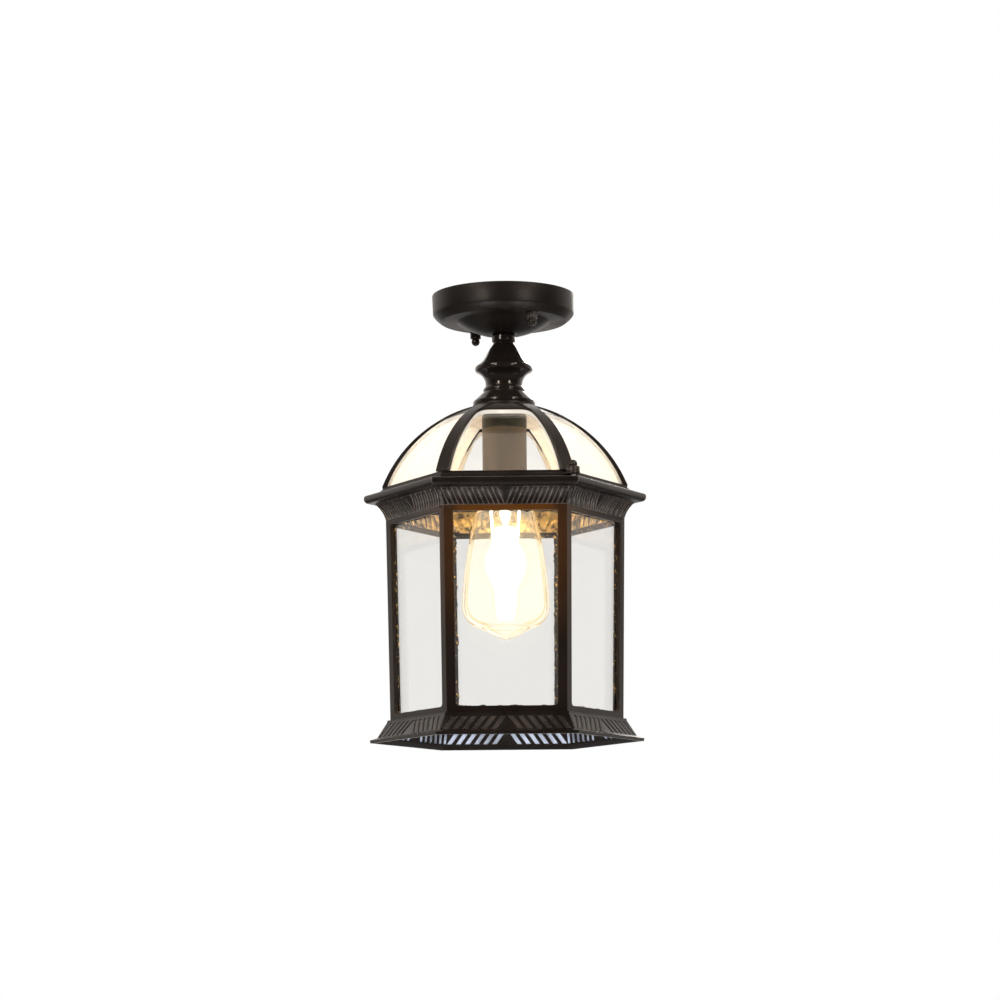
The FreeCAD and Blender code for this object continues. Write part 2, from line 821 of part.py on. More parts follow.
def dome_window(body):
    """The plan of one opening between two ribs, rounded at its top."""
    low_radius = d.cage_top_radius + d.ring_reach * 2
    slope = (d.rib_foot_width - d.rib_crown_width) / (d.cage_top_radius - d.crown_radius) / 2
    start_width = d.rib_crown_width / 2 - slope * d.crown_radius
    top_radius = (d.dome_window_top - start_width / 2) / (slope / 2 + COS30)
    side_radius = top_radius + d.dome_window_round
    low = radial(low_radius, -rib_half_width(low_radius), -60)
    side = radial(side_radius, -rib_half_width(side_radius), -60)
    top = radial(top_radius, -rib_half_width(top_radius), -60)
    top_x = top[0] - d.dome_window_round
    swell = d.dome_window_round * COS30 * math.tan(math.radians(15))
    window = draw(new_sketch(body, "dome_window", "XY_Plane"), [
        (-low[0], low[1]),
        low,
        side,
        (top_x, -d.dome_window_top, swell),
        (-top_x, -d.dome_window_top),
        (-side[0], side[1], swell),
    ])
    return pocket(body, window)


def make_roof_frame():
    bore = d.stem_radius + d.stem_gap
    hub = d.crown_radius / 2
    body = tube("roof_frame", bore, d.crown_radius, crown_foot_z, crown_z)
    outer_foot = dome_radius(d.dome_arc_radius, dome_foot_z)
    inner_foot = dome_radius(dome_inner_arc, dome_foot_z)
    outer_top = (dome_radius(d.dome_arc_radius, crown_z), crown_z)
    inner_top = (hub, dome_z(dome_inner_arc, hub))
    rib = draw(new_sketch(body, "rib_side"), [
        (inner_foot, dome_foot_z, -arc_swell(inner_top, (inner_foot, dome_foot_z), dome_inner_arc)),
        (inner_foot + d.dome_foot_spread, sill_z),
        (outer_foot + d.dome_foot_spread, sill_z),
        (outer_foot, dome_foot_z),
        (*outer_top, arc_swell((outer_foot, dome_foot_z), outer_top, d.dome_arc_radius)),
        (hub, crown_z),
        inner_top,
    ])
    around_axis(body, pad(body, rib, d.rib_foot_width, symmetric=True))
    cap_arc = d.dome_arc_radius - d.cap_sink
    cap_low = (d.cap_reach, dome_z(cap_arc, d.cap_reach))
    cap_low_inner = (d.cap_reach, dome_z(dome_inner_arc, d.cap_reach))
    cap_high = (hub * 2 * COS30, dome_z(cap_arc, hub * 2 * COS30))
    cap_high_inner = (hub * 2 * COS30, dome_z(dome_inner_arc, hub * 2 * COS30))
    sweep_round(body, "cap", [
        (*cap_low_inner, -arc_swell(cap_high_inner, cap_low_inner, dome_inner_arc)),
        cap_low,
        (*cap_high, arc_swell(cap_low, cap_high, cap_arc)),
        cap_high_inner,
    ])
    around_axis(body, dome_window(body))
    ring = d.cage_top_radius + d.ring_reach
    sweep_round(body, "base_ring", [
        (d.ring_inner_radius, cornice_z),
        (ring, cornice_z),
        (ring, sill_z - d.ring_step_height),
        (ring - d.ring_step, sill_z - d.ring_step_height),
        (ring - d.ring_step, sill_z),
        (d.ring_inner_radius, sill_z),
    ])
    for end, degrees in NUT_ANGLES.items():
        lug = new_sketch(body, f"lug_{end}", "XY_Plane", cornice_z + d.lug_gap)
        draw(lug, [
            radial(d.ring_inner_radius, -d.lug_half_width, degrees),
            radial(lug_radius, -d.lug_half_width, degrees),
            (*radial(lug_radius, d.lug_half_width, degrees), d.lug_end_swell),
            radial(d.ring_inner_radius, d.lug_half_width, degrees),
        ])
        pad(body, lug, d.lug_height - d.lug_gap)
        hole = new_sketch(body, f"lug_hole_{end}", "XY_Plane", cornice_z)
        draw_circle(hole, radial(lug_radius, 0, degrees), d.stud_radius + d.stud_hole_gap)
        pocket(body, hole, d.ring_height)
    keep(body)


# ---- panes and sealant -----------------------------------------------------------------------------------

def make_panes(name, points):
    """Six panes, one for each face, cut back from the corner lines by the edge gap."""
    reach = max(float(point[0]) for point in points)
    for side in range(SIDES):
        body = new_body(f"{name}_{side + 1}")
        section = draw(new_sketch(body, f"{body.Name}_section", "YZ_Plane"), flattened(points))
        pad(body, section, d.cage_top_radius * 2, symmetric=True)
        edges = new_sketch(body, f"{body.Name}_edges", "XY_Plane")
        near = d.cage_top_radius / SIDES
        far = d.cage_top_radius * 2
        gap = d.pane_edge_gap / COS30
        for hand in (1, -1):
            points_cut = [
                (hand * (near * TAN30 - gap), -near),
                (hand * (far * TAN30 - gap), -far),
                (hand * far * 2, -far),
                (hand * far * 2, -near),
            ]
            draw(edges, points_cut if hand > 0 else points_cut[::-1])
        pocket(body, edges)
        keep(place(body, degrees=side * 360 / SIDES))


def make_dome_glass():
    make_panes("dome_glass", dome_section(pane_outer_arc, pane_inner_arc, sill_z + d.glass_foot_gap,
                                          (d.dome_window_top - d.dome_glass_tuck) / COS30))


def cage_inner_radius(height):
    lean = (d.cage_top_radius - d.cage_bottom_radius) / d.cage_height
    return d.cage_bottom_radius - d.cage_wall / COS30 + lean * (height - cage_foot_z)


def make_side_glass():
    low = cage_foot_z + d.glass_foot_gap
    high = cage_z - d.side_glass_tuck
    gap = d.glass_gap / COS30
    back = (d.glass_gap + d.glass_thickness) / COS30
    make_panes("side_glass", [
        (cage_inner_radius(low) - back, low),
        (cage_inner_radius(low) - gap, low),
        (cage_inner_radius(high) - gap, high),
        (cage_inner_radius(high) - back, high),
    ])


def make_dome_sealant():
    """A wedge of sealant between the underside of each rib and the two panes that meet below it."""
    low = sill_z + d.glass_foot_gap * 2
    wedge = new_body("dome_sealant_wedge")
    strip = draw(new_sketch(wedge, "sealant_side"), dome_section(
        dome_inner_arc - d.sealant_gap, dome_inner_arc - d.sealant_depth, low, d.cap_reach + d.dome_glass_tuck))
    around_axis(wedge, pad(wedge, strip, d.sealant_half_width * 2, symmetric=True))
    floor = d.crown_radius
    arc = pane_outer_arc + d.sealant_gap
    foot = (dome_radius(arc, sill_z), sill_z)
    top = (floor, dome_z(arc, floor))
    glass = six_sided("dome_sealant_bed", [
        (floor, sill_z),
        foot,
        (*top, arc_swell(foot, top, arc)),
    ])
    cut = doc.addObject("Part::Cut", "dome_sealant")
    cut.Base = wedge
    cut.Tool = glass
    cut.Label = "dome_sealant"
    keep(cut)


def make_side_sealant():
    low = cage_foot_z + d.sealant_gap
    high = cage_z - d.corner_bead_drop
    back = (d.glass_gap + d.glass_thickness + d.sealant_gap) / COS30
    bead = d.sealant_bead
    body = six_sided("side_sealant", [
        (cage_inner_radius(low) - back - bead, low),
        (cage_inner_radius(low) - back, low),
        (cage_inner_radius(low) - back, low + bead),
        (cage_inner_radius(low) - back - bead / 3, low + bead),
    ])
    inset = back + d.corner_bead_half_width * TAN30 + d.sealant_gap
    corner = draw(new_sketch(body, "corner_bead"), [
        (cage_inner_radius(low) - inset - bead, low),
        (cage_inner_radius(low) - inset, low),
        (cage_inner_radius(high) - inset, high),
        (cage_inner_radius(high) - inset - bead, high),
    ])
    around_axis(body, pad(body, corner, d.corner_bead_half_width * 2, symmetric=True))
    keep(body)


# ---- cornice, cage and skirt -------------------------------------------------------------------------------

def reed_grooves(body, name, low, high, low_half, high_half, lean_low, lean_high):
    """Slanted slots through the face that looks along -Y, mirrored about its middle, then all round."""
    sketch = new_sketch(body, f"{name}_reeds")
    margin, middle, groove = d.reed_margin, d.reed_middle, d.reed_groove
    spare_low = low_half - margin - groove - middle - lean_low
    spare_high = high_half - margin - groove - middle - lean_high
    room = spare_low if spare_low < spare_high else spare_high
    for index in range(REEDS):
        start = middle + room * index / (REEDS - 1)
        low_x, high_x = start + lean_low, start + lean_high
        slot = [(low_x, low), (low_x + groove, low), (high_x + groove, high), (high_x, high)]
        draw(sketch, slot)
        draw(sketch, [(-x, z) for x, z in reversed(slot)])
    cut = add_feature(body, "Pocket", f"{name}_reeds_cut", sketch)
    cut.Reversed = True
    cut.Length = float(d.cage_top_radius * 2)
    cut.setExpression("Length", text_of(d.cage_top_radius * 2))
    cut.Refine = False
    around_axis(body, cut).Refine = False


def corner_tabs(body, name, z, thickness, outer, hole):
    """A flat tab in three of the corners, with a hole for a screw."""
    degrees = 0
    tab = draw(new_sketch(body, f"{name}_tab", "XY_Plane", z), [
        radial(d.cage_top_radius - d.tab_inset, -d.tab_half_width, degrees),
        radial(outer, -d.tab_half_width, degrees),
        radial(outer, d.tab_half_width, degrees),
        radial(d.cage_top_radius - d.tab_inset, d.tab_half_width, degrees),
    ])
    around_axis(body, pad(body, tab, thickness), SCREWS)
    bore = new_sketch(body, f"{name}_tab_hole", "XY_Plane", z)
    draw_circle(bore, radial(d.cage_top_radius - d.tab_screw_inset, 0, degrees), hole)
    around_axis(body, pocket(body, bore, thickness * 3), SCREWS)


def make_cornice():
    top = d.cage_top_radius
    rim = top + d.cornice_rim_reach
    under = rim - d.cornice_rim_undercut
    cove = top + d.cove_reach
    wall = d.cornice_wall
    roof_z = cornice_z - d.cornice_roof
    shoulder_z = roof_z - d.cornice_shoulder
    shoulder = cove - wall
    skin = d.reed_depth + d.reed_root
    hollow = d.cove_hollow
    cove_z = cornice_z - d.cove_top_drop
    body = six_sided("cornice", [
        (d.ring_inner_radius, roof_z),
        (shoulder - d.cornice_shoulder_run, roof_z),
        (shoulder, shoulder_z),
        (top - wall, cage_z, hollow),
        (top - wall + skin, cage_z),
        (shoulder + skin, shoulder_z, -hollow),
        (cove - skin, cove_z),
        (top - skin, cage_z, hollow),
        (top, cage_z),
        (cove, cove_z, -hollow),
        (under, cornice_z - d.cornice_rim_drop),
        (rim, cornice_z - d.cornice_slope_drop, d.cornice_rim_swell),
        (top + d.cornice_flat, cornice_z),
        (d.ring_inner_radius, cornice_z),
    ])
    reed_grooves(body, "cornice", cage_z + d.reed_land, cove_z - d.reed_land,
                 (top - wall) / 2, shoulder / 2, 0, d.cornice_reed_lean)
    depth = d.reed_depth
    sweep_round(body, "cornice_core", [
        (top - wall + depth, cage_z),
        (top - depth, cage_z),
        (cove - depth, cove_z, -hollow),
        (cove - depth, cove_z + 1),
        (shoulder + depth, shoulder_z + 1),
        (shoulder + depth, shoulder_z),
    ])
    for end, degrees in NUT_ANGLES.items():
        hole = new_sketch(body, f"roof_stud_hole_{end}", "XY_Plane", cornice_z)
        draw_circle(hole, radial(lug_radius, 0, degrees), d.stud_radius + d.thread_gap)
        pocket(body, hole, (d.roof_stud_depth + d.thread_gap) * 2)
    corner_tabs(body, "cornice", cage_z, d.cornice_tab_thickness, top - wall + d.reed_depth,
                d.tab_screw_radius + d.stud_hole_gap)
    keep(body)


def make_cage():
    wall = d.cage_wall / COS30
    body = six_sided("cage_frame", [
        (d.cage_bottom_radius - wall, cage_foot_z),
        (d.cage_bottom_radius, cage_foot_z),
        (d.cage_top_radius, cage_z),
        (d.cage_top_radius - wall, cage_z),
    ])
    low, high = cage_foot_z + d.window_foot_rise, cage_z - d.window_top_drop
    low_x = (cage_inner_radius(low) + wall) / 2 - d.post_face
    high_x = (cage_inner_radius(high) + wall) / 2 - d.post_face
    foot, head = d.window_foot_round, d.window_top_round
    window = draw(new_sketch(body, "window"), [
        (-low_x + foot, low, foot * QUARTER),
        (low_x - foot, low),
        (low_x, low + foot, foot * QUARTER),
        (high_x, high - head),
        (high_x - head, high, head * QUARTER),
        (-high_x + head, high),
        (-high_x, high - head, head * QUARTER),
        (-low_x, low + foot),
    ])
    cut = add_feature(body, "Pocket", "window_cut", window)
    cut.Length = float(d.cage_top_radius * 2)
    cut.setExpression("Length", text_of(d.cage_top_radius * 2))
    around_axis(body, cut)
    corner_tabs(body, "cage", cage_z - d.cage_tab_thickness, d.cage_tab_thickness,
                d.cage_top_radius - wall / 2, d.tab_screw_radius + d.screw_gap)
    holes = new_sketch(body, "skirt_screw_holes", "XY_Plane", cage_foot_z)
    draw_circle(holes, (d.cage_bottom_radius - d.skirt_screw_inset, 0), d.skirt_screw_radius + d.screw_gap)
    around_axis(body, pocket(body, holes, (d.skirt_screw_length - d.skirt_flange + d.screw_gap) * 2), SCREWS)
    keep(body)


def make_skirt():
    top = d.cage_bottom_radius
    shoulder = top + d.skirt_top_step + d.skirt_shoulder_step
    shoulder_z = cage_foot_z - d.skirt_shoulder_drop
    foot = shoulder + d.skirt_flare
    foot_z = shoulder_z - d.skirt_slope_drop
    lip = foot + d.skirt_lip_reach
    flange_z = cage_foot_z - d.skirt_flange
    inner = shoulder - d.skirt_wall + d.skirt_flange / 2 - d.skirt_shoulder_drop / 2
    inner_foot = inner + d.skirt_flare
    inner_foot_z = flange_z - d.skirt_slope_drop
    skin = d.reed_depth + d.reed_root
    slot_z = flange_z + d.reed_land
    drop = shoulder_z - slot_z
    run = d.skirt_flare * drop / d.skirt_slope_drop
    body = six_sided("base_skirt", [
        (d.skirt_flange_radius, flange_z),
        (inner, flange_z),
        (inner_foot, inner_foot_z),
        (inner_foot + skin, inner_foot_z),
        (inner + skin, slot_z),
        (shoulder + run - skin, slot_z),
        (foot - skin, foot_z),
        (foot, foot_z),
        (shoulder, shoulder_z),
        (top + d.skirt_top_step, cage_foot_z),
        (d.skirt_flange_radius, cage_foot_z),
    ])
    reed_grooves(body, "skirt", foot_z + d.reed_land, flange_z - d.reed_land,
                 inner_foot / 2, inner / 2, d.skirt_reed_lean, 0)
    depth = d.reed_depth
    sweep_round(body, "skirt_core", [
        (inner + depth, flange_z),
        (inner_foot + depth, inner_foot_z),
        (inner_foot, inner_foot_z),
        (lip - d.skirt_lip_undercut - d.skirt_lip_width, skirt_foot_z),
        (lip - d.skirt_lip_undercut, skirt_foot_z),
        (lip, foot_z - d.skirt_lip_drop),
        (foot, foot_z),
        (foot - depth, foot_z),
        (shoulder - depth, shoulder_z),
        (inner + depth, shoulder_z),
    ])
    holes = new_sketch(body, "flange_screw_holes", "XY_Plane", cage_foot_z)
    draw_circle(holes, (top - d.skirt_screw_inset, 0), d.skirt_screw_radius + d.stud_hole_gap / 2)
    around_axis(body, pocket(body, holes, d.skirt_flange * 3), SCREWS)
    keep(body)


def pan_screw(name, radius, head_radius, head, length):
    """A screw whose head stands on Z = 0 and whose shank hangs below."""
    return turned(name, [
        (0, -length),
        (radius, -length),
        (radius, 0),
        (head_radius, 0),
        (head_radius, head / 2),
        (head_radius * COS30, head, head * QUARTER / 2),
        (0, head),
    ])


def make_frame_fasteners():
    screw = pan_screw("cornice_screw", d.tab_screw_radius, d.tab_screw_head_radius,
                      d.tab_screw_head, d.tab_screw_length)
    angles = [turn * 360 / SCREWS for turn in range(SCREWS)]
    places = [polar(d.cage_top_radius - d.tab_screw_inset, angle) for angle in angles]
    group_node("cornice_screws", screw, [spot(x, y, cage_z + d.cornice_tab_thickness) for x, y in places])
    screw = pan_screw("skirt_screw", d.skirt_screw_radius, d.skirt_screw_head_radius,
                      d.skirt_screw_head, d.skirt_screw_length)
    places = [polar(d.cage_bottom_radius - d.skirt_screw_inset, angle) for angle in angles]
    group_node("skirt_screws", screw,
               [spot(x, y, cage_foot_z - d.skirt_flange, flip=True) for x, y in places])
    stud_top_z = cornice_z + d.lug_height + d.nut_washer_height + d.roof_nut_bore - d.nut_gap
    stud = turned("roof_stud", [
        (0, cornice_z - d.roof_stud_depth),
        (d.stud_radius, cornice_z - d.roof_stud_depth),
        (d.stud_radius, stud_top_z),
        (0, stud_top_z),
    ])
    places = [polar(lug_radius, degrees) for degrees in NUT_ANGLES.values()]
    group_node("roof_studs", stud, [spot(x, y) for x, y in places])


# ---- socket and bulb -----------------------------------------------------------------------------------------

insulator_z = socket_z - d.insulator_drop
insulator_foot_z = insulator_z - d.insulator_thickness
shell_radius = d.bulb_cap_radius + d.shell_gap + d.shell_wall
contact_z = insulator_foot_z - d.contact_thickness
bulb_z = contact_z - d.contact_gap
cap_foot_z = bulb_z - d.bulb_button - d.bulb_button_shoulder - d.bulb_cap_height


def make_socket():
    wall = d.socket_wall
    cup = d.socket_cup_radius
    bore = d.stem_radius + d.stem_gap
    keep(turned("socket_cup", [
        (bore, socket_z - wall),
        (cup - wall * 2, socket_z - wall),
        (cup - wall, socket_z - wall * 2, -wall * QUARTER),
        (cup - wall, sleeve_z),
        (cup, sleeve_z),
        (cup, socket_z - wall * 2),
        (cup - wall * 2, socket_z, wall * 2 * QUARTER),
        (bore, socket_z),
    ]))
    sleeve = d.socket_sleeve_radius
    keep(tube("socket_sleeve", sleeve - wall, sleeve, sleeve_foot_z, sleeve_z))
    outer = sleeve - wall - d.insulator_gap
    insulator = turned("socket_insulator", [
        (0, insulator_foot_z),
        (outer - d.insulator_wall, insulator_foot_z),
        (outer - d.insulator_wall, insulator_foot_z - d.insulator_skirt),
        (outer, insulator_foot_z - d.insulator_skirt),
        (outer, insulator_z),
        (0, insulator_z),
    ])
    places = [polar(d.terminal_place, degrees) for degrees in LEAD_ANGLES]
    holes = new_sketch(insulator, "terminal_holes", "XY_Plane", insulator_z)
    for centre in places:
        draw_circle(holes, centre, d.terminal_radius / 2 + d.thread_gap)
    pocket(insulator, holes, d.insulator_thickness + d.thread_gap * 2)
    keep(insulator)
    keep(tube("screw_shell", shell_radius - d.shell_wall, shell_radius,
              insulator_foot_z - d.shell_length, insulator_foot_z))
    keep(tube("centre_contact", d.contact_radius / 4, d.contact_radius, contact_z, insulator_foot_z))
    screw = pan_screw("terminal_screw", d.terminal_radius / 2, d.terminal_radius, d.terminal_head,
                      d.insulator_thickness / 2)
    group_node("terminal_screws", screw, [spot(x, y, insulator_z) for x, y in places])


def make_bulb():
    cap = d.bulb_cap_radius
    wall = d.bulb_cap_wall
    cap_z = cap_foot_z + d.bulb_cap_height
    shoulder_z = cap_z - d.bulb_cap_shoulder
    keep(turned("bulb_cap", [
        (cap - wall, cap_foot_z),
        (cap, cap_foot_z),
        (cap, shoulder_z),
        (d.bulb_cap_top_radius, cap_z),
        (d.bulb_cap_top_radius - wall, cap_z),
        (cap - wall, shoulder_z - wall),
    ]))
    button_z = cap_z + d.bulb_button_shoulder
    keep(turned("bulb_insulator", [
        (0, cap_z - wall),
        (d.bulb_cap_top_radius - wall, cap_z - wall),
        (d.bulb_cap_top_radius - wall, cap_z),
        (d.bulb_button_radius, button_z),
        (0, button_z),
    ]))
    keep(turned("bulb_contact", [
        (0, button_z),
        (d.bulb_button_radius - wall, button_z),
        (d.bulb_button_radius / 2, button_z + d.bulb_button, d.bulb_button / 4),
        (0, button_z + d.bulb_button),
    ]))
    neck_z = cap_foot_z + d.bulb_neck_length
    throat_z = cap_foot_z - d.bulb_throat_drop
    side_z = throat_z - d.bulb_shoulder_drop
    widest_z = side_z - d.bulb_side_drop
    round_z = widest_z - d.bulb_round_drop
    tip_z = round_z - d.bulb_tip_drop
    glass = d.bulb_glass
    outside = [
        (0, tip_z),
        (d.bulb_round_radius, round_z, d.bulb_tip_swell),
        (d.bulb_radius, widest_z, d.bulb_round_swell),
        (d.bulb_shoulder_radius, side_z, d.bulb_side_swell),
        (d.bulb_throat_radius, throat_z, -d.bulb_shoulder_hollow),
        (d.bulb_neck_radius, throat_z + d.bulb_throat_drop / 2),
        (d.bulb_neck_radius, neck_z),
    ]
    inside = [
        (d.bulb_neck_radius - glass, neck_z),
        (d.bulb_neck_radius - glass, throat_z + d.bulb_throat_drop / 2),
        (d.bulb_throat_radius - glass, throat_z),
        (d.bulb_shoulder_radius - glass, side_z, d.bulb_shoulder_hollow),
        (d.bulb_radius - glass, widest_z, -d.bulb_side_swell),
        (d.bulb_round_radius - glass, round_z + glass, -d.bulb_round_swell),
        (0, tip_z + glass, -d.bulb_tip_swell),
    ]
    keep(turned("bulb_glass", outside + inside))
    stem_foot_z = neck_z - d.bulb_stem_length
    flare = d.bulb_neck_radius - glass * 2
    keep(turned("bulb_stem", [
        (0, stem_foot_z),
        (d.bulb_stem_radius / 2, stem_foot_z),
        (d.bulb_stem_radius, stem_foot_z + d.bulb_stem_radius * 2),
        (d.bulb_stem_radius, neck_z - d.bulb_stem_radius * 2),
        (flare, neck_z),
        (0, neck_z),
    ]))
    make_filaments(neck_z - d.filament_top_drop, stem_foot_z)


def wire_ring(name, circle, wire, z):
    ring = doc.addObject("Part::Torus", name)
    ring.Radius1 = float(circle)
    ring.Radius2 = float(wire)
    ring.setExpression("Radius1", text_of(circle))
    ring.setExpression("Radius2", text_of(wire))
    return place(ring, z=z)


def make_filaments(top_z, stem_foot_z):
    """Rods slanted inwards between a wide ring at the top and a narrow ring at the foot."""
    wire = d.support_wire_radius
    foot_z = top_z - d.filament_length
    clear = wire + d.support_gap
    run = d.filament_top_circle - d.filament_foot_circle
    lean = math.degrees(math.atan2(float(run), float(d.filament_length)))
    rod = doc.addObject("Part::Cylinder", "filament_rod")
    rod.Radius = float(d.filament_radius)
    rod.setExpression("Radius", text_of(d.filament_radius))
    length = root(run * run + d.filament_length * d.filament_length) - clear * 2
    rod.Height = float(length)
    rod.setExpression("Height", text_of(length))
    doc.recompute()
    rods = []
    for index in range(int(d.filament_count)):
        turn = (index + 0.5) * 360 / int(d.filament_count)
        slant = Rotation(Vector(0, 0, 1), turn).multiply(Rotation(Vector(0, 1, 0), lean))
        x, y = polar(float(d.filament_foot_circle), turn)
        start = Vector(x, y, float(foot_z)) + slant.multVec(Vector(0, 0, float(clear)))
        rods.append(rod.Shape.copy())
        rods[-1].Placement = Placement(start, slant)
    keep(solid_node("bulb_filaments", Part.makeCompound(rods)))
    spine = tube("support_spine", wire, wire * 2, foot_z, stem_foot_z - d.support_gap)
    rings = [wire_ring("support_ring_top", d.filament_top_circle, wire, top_z),
             wire_ring("support_ring_foot", d.filament_foot_circle, wire, foot_z)]
    spoke = doc.addObject("Part::Cylinder", "support_spoke")
    spoke.Radius = float(wire)
    spoke.setExpression("Radius", text_of(wire))
    spoke.Height = float(d.filament_foot_circle)
    spoke.setExpression("Height", text_of(d.filament_foot_circle))
    place(spoke, z=foot_z, axis=(0, 1, 0), degrees=90)
    arm = doc.addObject("Part::Cylinder", "support_arm")
    arm.Radius = float(wire)
    arm.setExpression("Radius", text_of(wire))
    arm_length = d.filament_top_circle - d.bulb_stem_radius - d.support_gap
    arm.Height = float(arm_length)
    arm.setExpression("Height", text_of(arm_length))
    place(arm, x=d.bulb_stem_radius + d.support_gap, z=top_z, axis=(0, 1, 0), degrees=90)
    wires = doc.addObject("Part::MultiFuse", "bulb_lead_wires")
    wires.Shapes = [spine, rings[1], spoke]
    hoop = doc.addObject("Part::MultiFuse", "bulb_top_wires")
    hoop.Shapes = [rings[0], arm]
    for item in (wires, hoop):
        item.Label = item.Name
        keep(item)


# ---- leads -----------------------------------------------------------------------------------------------------

def bent_tube(points, radius):
    """A round lead along straight runs that are joined by tangent arcs."""
    edges, here, bends = [], points[0], []
    for before, corner, after in zip(points, points[1:], points[2:]):
        come, go = (corner - before), (after - corner)
        turn = come.getAngle(go)
        bend = LEAD_SHARE * min(come.Length, go.Length) / math.tan(turn / 2)
        cut = bend * math.tan(turn / 2)
        start = corner - come.normalize() * cut
        end = corner + go.normalize() * cut
        middle = corner + (go - come).normalize() * bend * (1 / math.cos(turn / 2) - 1)
        edges += [Part.LineSegment(here, start).toShape(), Part.Arc(start, middle, end).toShape()]
        bends.append(round(bend, 1))
        here = end
    edges.append(Part.LineSegment(here, points[-1]).toShape())
    path = Part.Wire(edges)
    ring = Part.Wire(Part.Circle(points[0], points[1] - points[0], radius).toShape())
    tube_shape = path.makePipeShell([ring], True, True)
    expected = math.pi * radius * radius * path.Length
    print(f"lead: bends {bends} mm, volume {tube_shape.Volume / expected:.3f} of section x length")
    return tube_shape


def make_leads():
    side = d.lead_spread
    bow = d.lead_bow
    stem_foot_z = socket_z - d.insulator_thickness / 2
    head_z = insulator_z + d.terminal_head
    end_x = d.terminal_place - d.terminal_radius - d.lead_radius - d.lead_end_gap
    turn_z = -d.lead_turn_drop
    length = stem_foot_z - turn_z
    run = [
        (end_x, head_z),
        (side + bow, stem_foot_z - d.lead_radius),
        (side - bow, stem_foot_z - length / 5),
        (side + bow, turn_z + length * 2 / 5),
        (side - bow, turn_z),
        (d.lead_reach, turn_z),
    ]
    points = [Vector(float(x), 0, float(z)) for x, z in run]
    lead = bent_tube(points, float(d.lead_radius))
    for name, degrees in zip(("line_lead", "neutral_lead"), LEAD_ANGLES):
        item = solid_node(name, lead)
        keep(place(item, degrees=degrees))
    length, radius = d.connector_length, d.connector_radius
    bore = d.lead_radius + d.connector_gap
    connector = turned("wire_connector", [
        (0, d.connector_bore),
        (bore, d.connector_bore),
        (bore, 0),
        (radius, 0),
        (radius, length / 4),
        (radius * 3 / 4, length),
        (0, length),
    ])
    start = d.lead_reach - d.connector_bore + d.lead_end_gap
    lying = Rotation(Vector(0, 1, 0), 90)
    places = []
    for degrees in LEAD_ANGLES:
        x, y = polar(start, degrees)
        turn = Rotation(Vector(0, 0, 1), degrees).multiply(lying)
        places.append(Placement(Vector(float(x), float(y), float(turn_z)), turn))
    group_node("wire_connectors", connector, places)
    top_z = -(d.crossbar_thickness + d.ground_screw_head + d.lead_end_gap)
    foot_z = seat_top_z + d.stem_washer_height + d.stem_nut_height - d.lead_end_gap
    foot_x = d.stem_nut_flats / (2 * COS30) + d.lead_radius * 2
    middle = (d.ground_screw_place + d.lead_radius, (top_z + foot_z) / 2)
    run = [(d.ground_screw_place, top_z), middle, (foot_x, foot_z)]
    item = solid_node("ground_lead", bent_tube([Vector(float(x), 0, float(z)) for x, z in run],
                                               float(d.lead_radius)))
    keep(place(item, degrees=NUT_ANGLES["front"]))


make_canopy()
make_crossbar()
make_canopy_fasteners()
make_stem()
make_neck()
make_ball_nuts()
make_roof_frame()
make_dome_glass()
make_dome_sealant()
make_cornice()
make_cage()
make_side_glass()
make_side_sealant()
make_skirt()
make_frame_fasteners()
make_socket()
make_bulb()
make_leads()


# ---- check and write -----------------------------------------------------------------------------------

def check_and_write():
    doc.recompute()
    for item in doc.Objects:
        faults = {"Invalid", "Error"} & set(item.State)
        if faults:
            raise RuntimeError(f"{item.Name} is {faults}")
    os.makedirs("parts", exist_ok=True)
    for item in nodes:
        if item.Shape.isNull() or not item.Shape.isValid() or item.Shape.Volume <= 0:
            raise RuntimeError(f"{item.Label} has no sound shape")
        item.Shape.exportStep(f"parts/{item.Label}.step")
        print(f"{item.Label}: {len(item.Shape.Solids)} solid, {item.Shape.Volume:.0f} mm3")


check_and_write()
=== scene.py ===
# %% [markdown]
# # A porch ceiling lantern
# The lantern hangs from the ceiling: a round canopy, a turned neck, a ribbed glass dome, a six-sided glazed
# cage and a reeded skirt. The measured model is loaded first. Everything made here sits in that same frame,
# in metres, with the origin at the middle of the canopy's rim and +Z pointing up into the ceiling. Outlines
# are written in millimetres, as a maker measures them, and MM turns them into metres.

# %% Load the measured model
import math

import bmesh
import bpy
from mathutils import Matrix, Vector, noise


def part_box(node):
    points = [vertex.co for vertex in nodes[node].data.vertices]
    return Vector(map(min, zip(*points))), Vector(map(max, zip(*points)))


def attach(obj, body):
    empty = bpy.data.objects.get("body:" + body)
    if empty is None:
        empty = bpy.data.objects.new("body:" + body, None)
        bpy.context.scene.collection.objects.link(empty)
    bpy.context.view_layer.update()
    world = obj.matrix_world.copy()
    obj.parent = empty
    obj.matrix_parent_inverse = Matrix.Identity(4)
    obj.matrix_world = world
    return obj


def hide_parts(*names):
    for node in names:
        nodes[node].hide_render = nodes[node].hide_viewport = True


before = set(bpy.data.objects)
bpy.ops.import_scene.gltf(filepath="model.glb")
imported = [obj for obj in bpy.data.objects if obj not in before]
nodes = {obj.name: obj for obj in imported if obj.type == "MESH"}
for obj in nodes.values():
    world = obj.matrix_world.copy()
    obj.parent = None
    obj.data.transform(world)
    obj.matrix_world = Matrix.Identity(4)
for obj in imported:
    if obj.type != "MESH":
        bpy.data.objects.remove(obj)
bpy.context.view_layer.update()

MM = 0.001
print("nodes:", len(nodes), "faces:", sum(len(node.data.polygons) for node in nodes.values()))

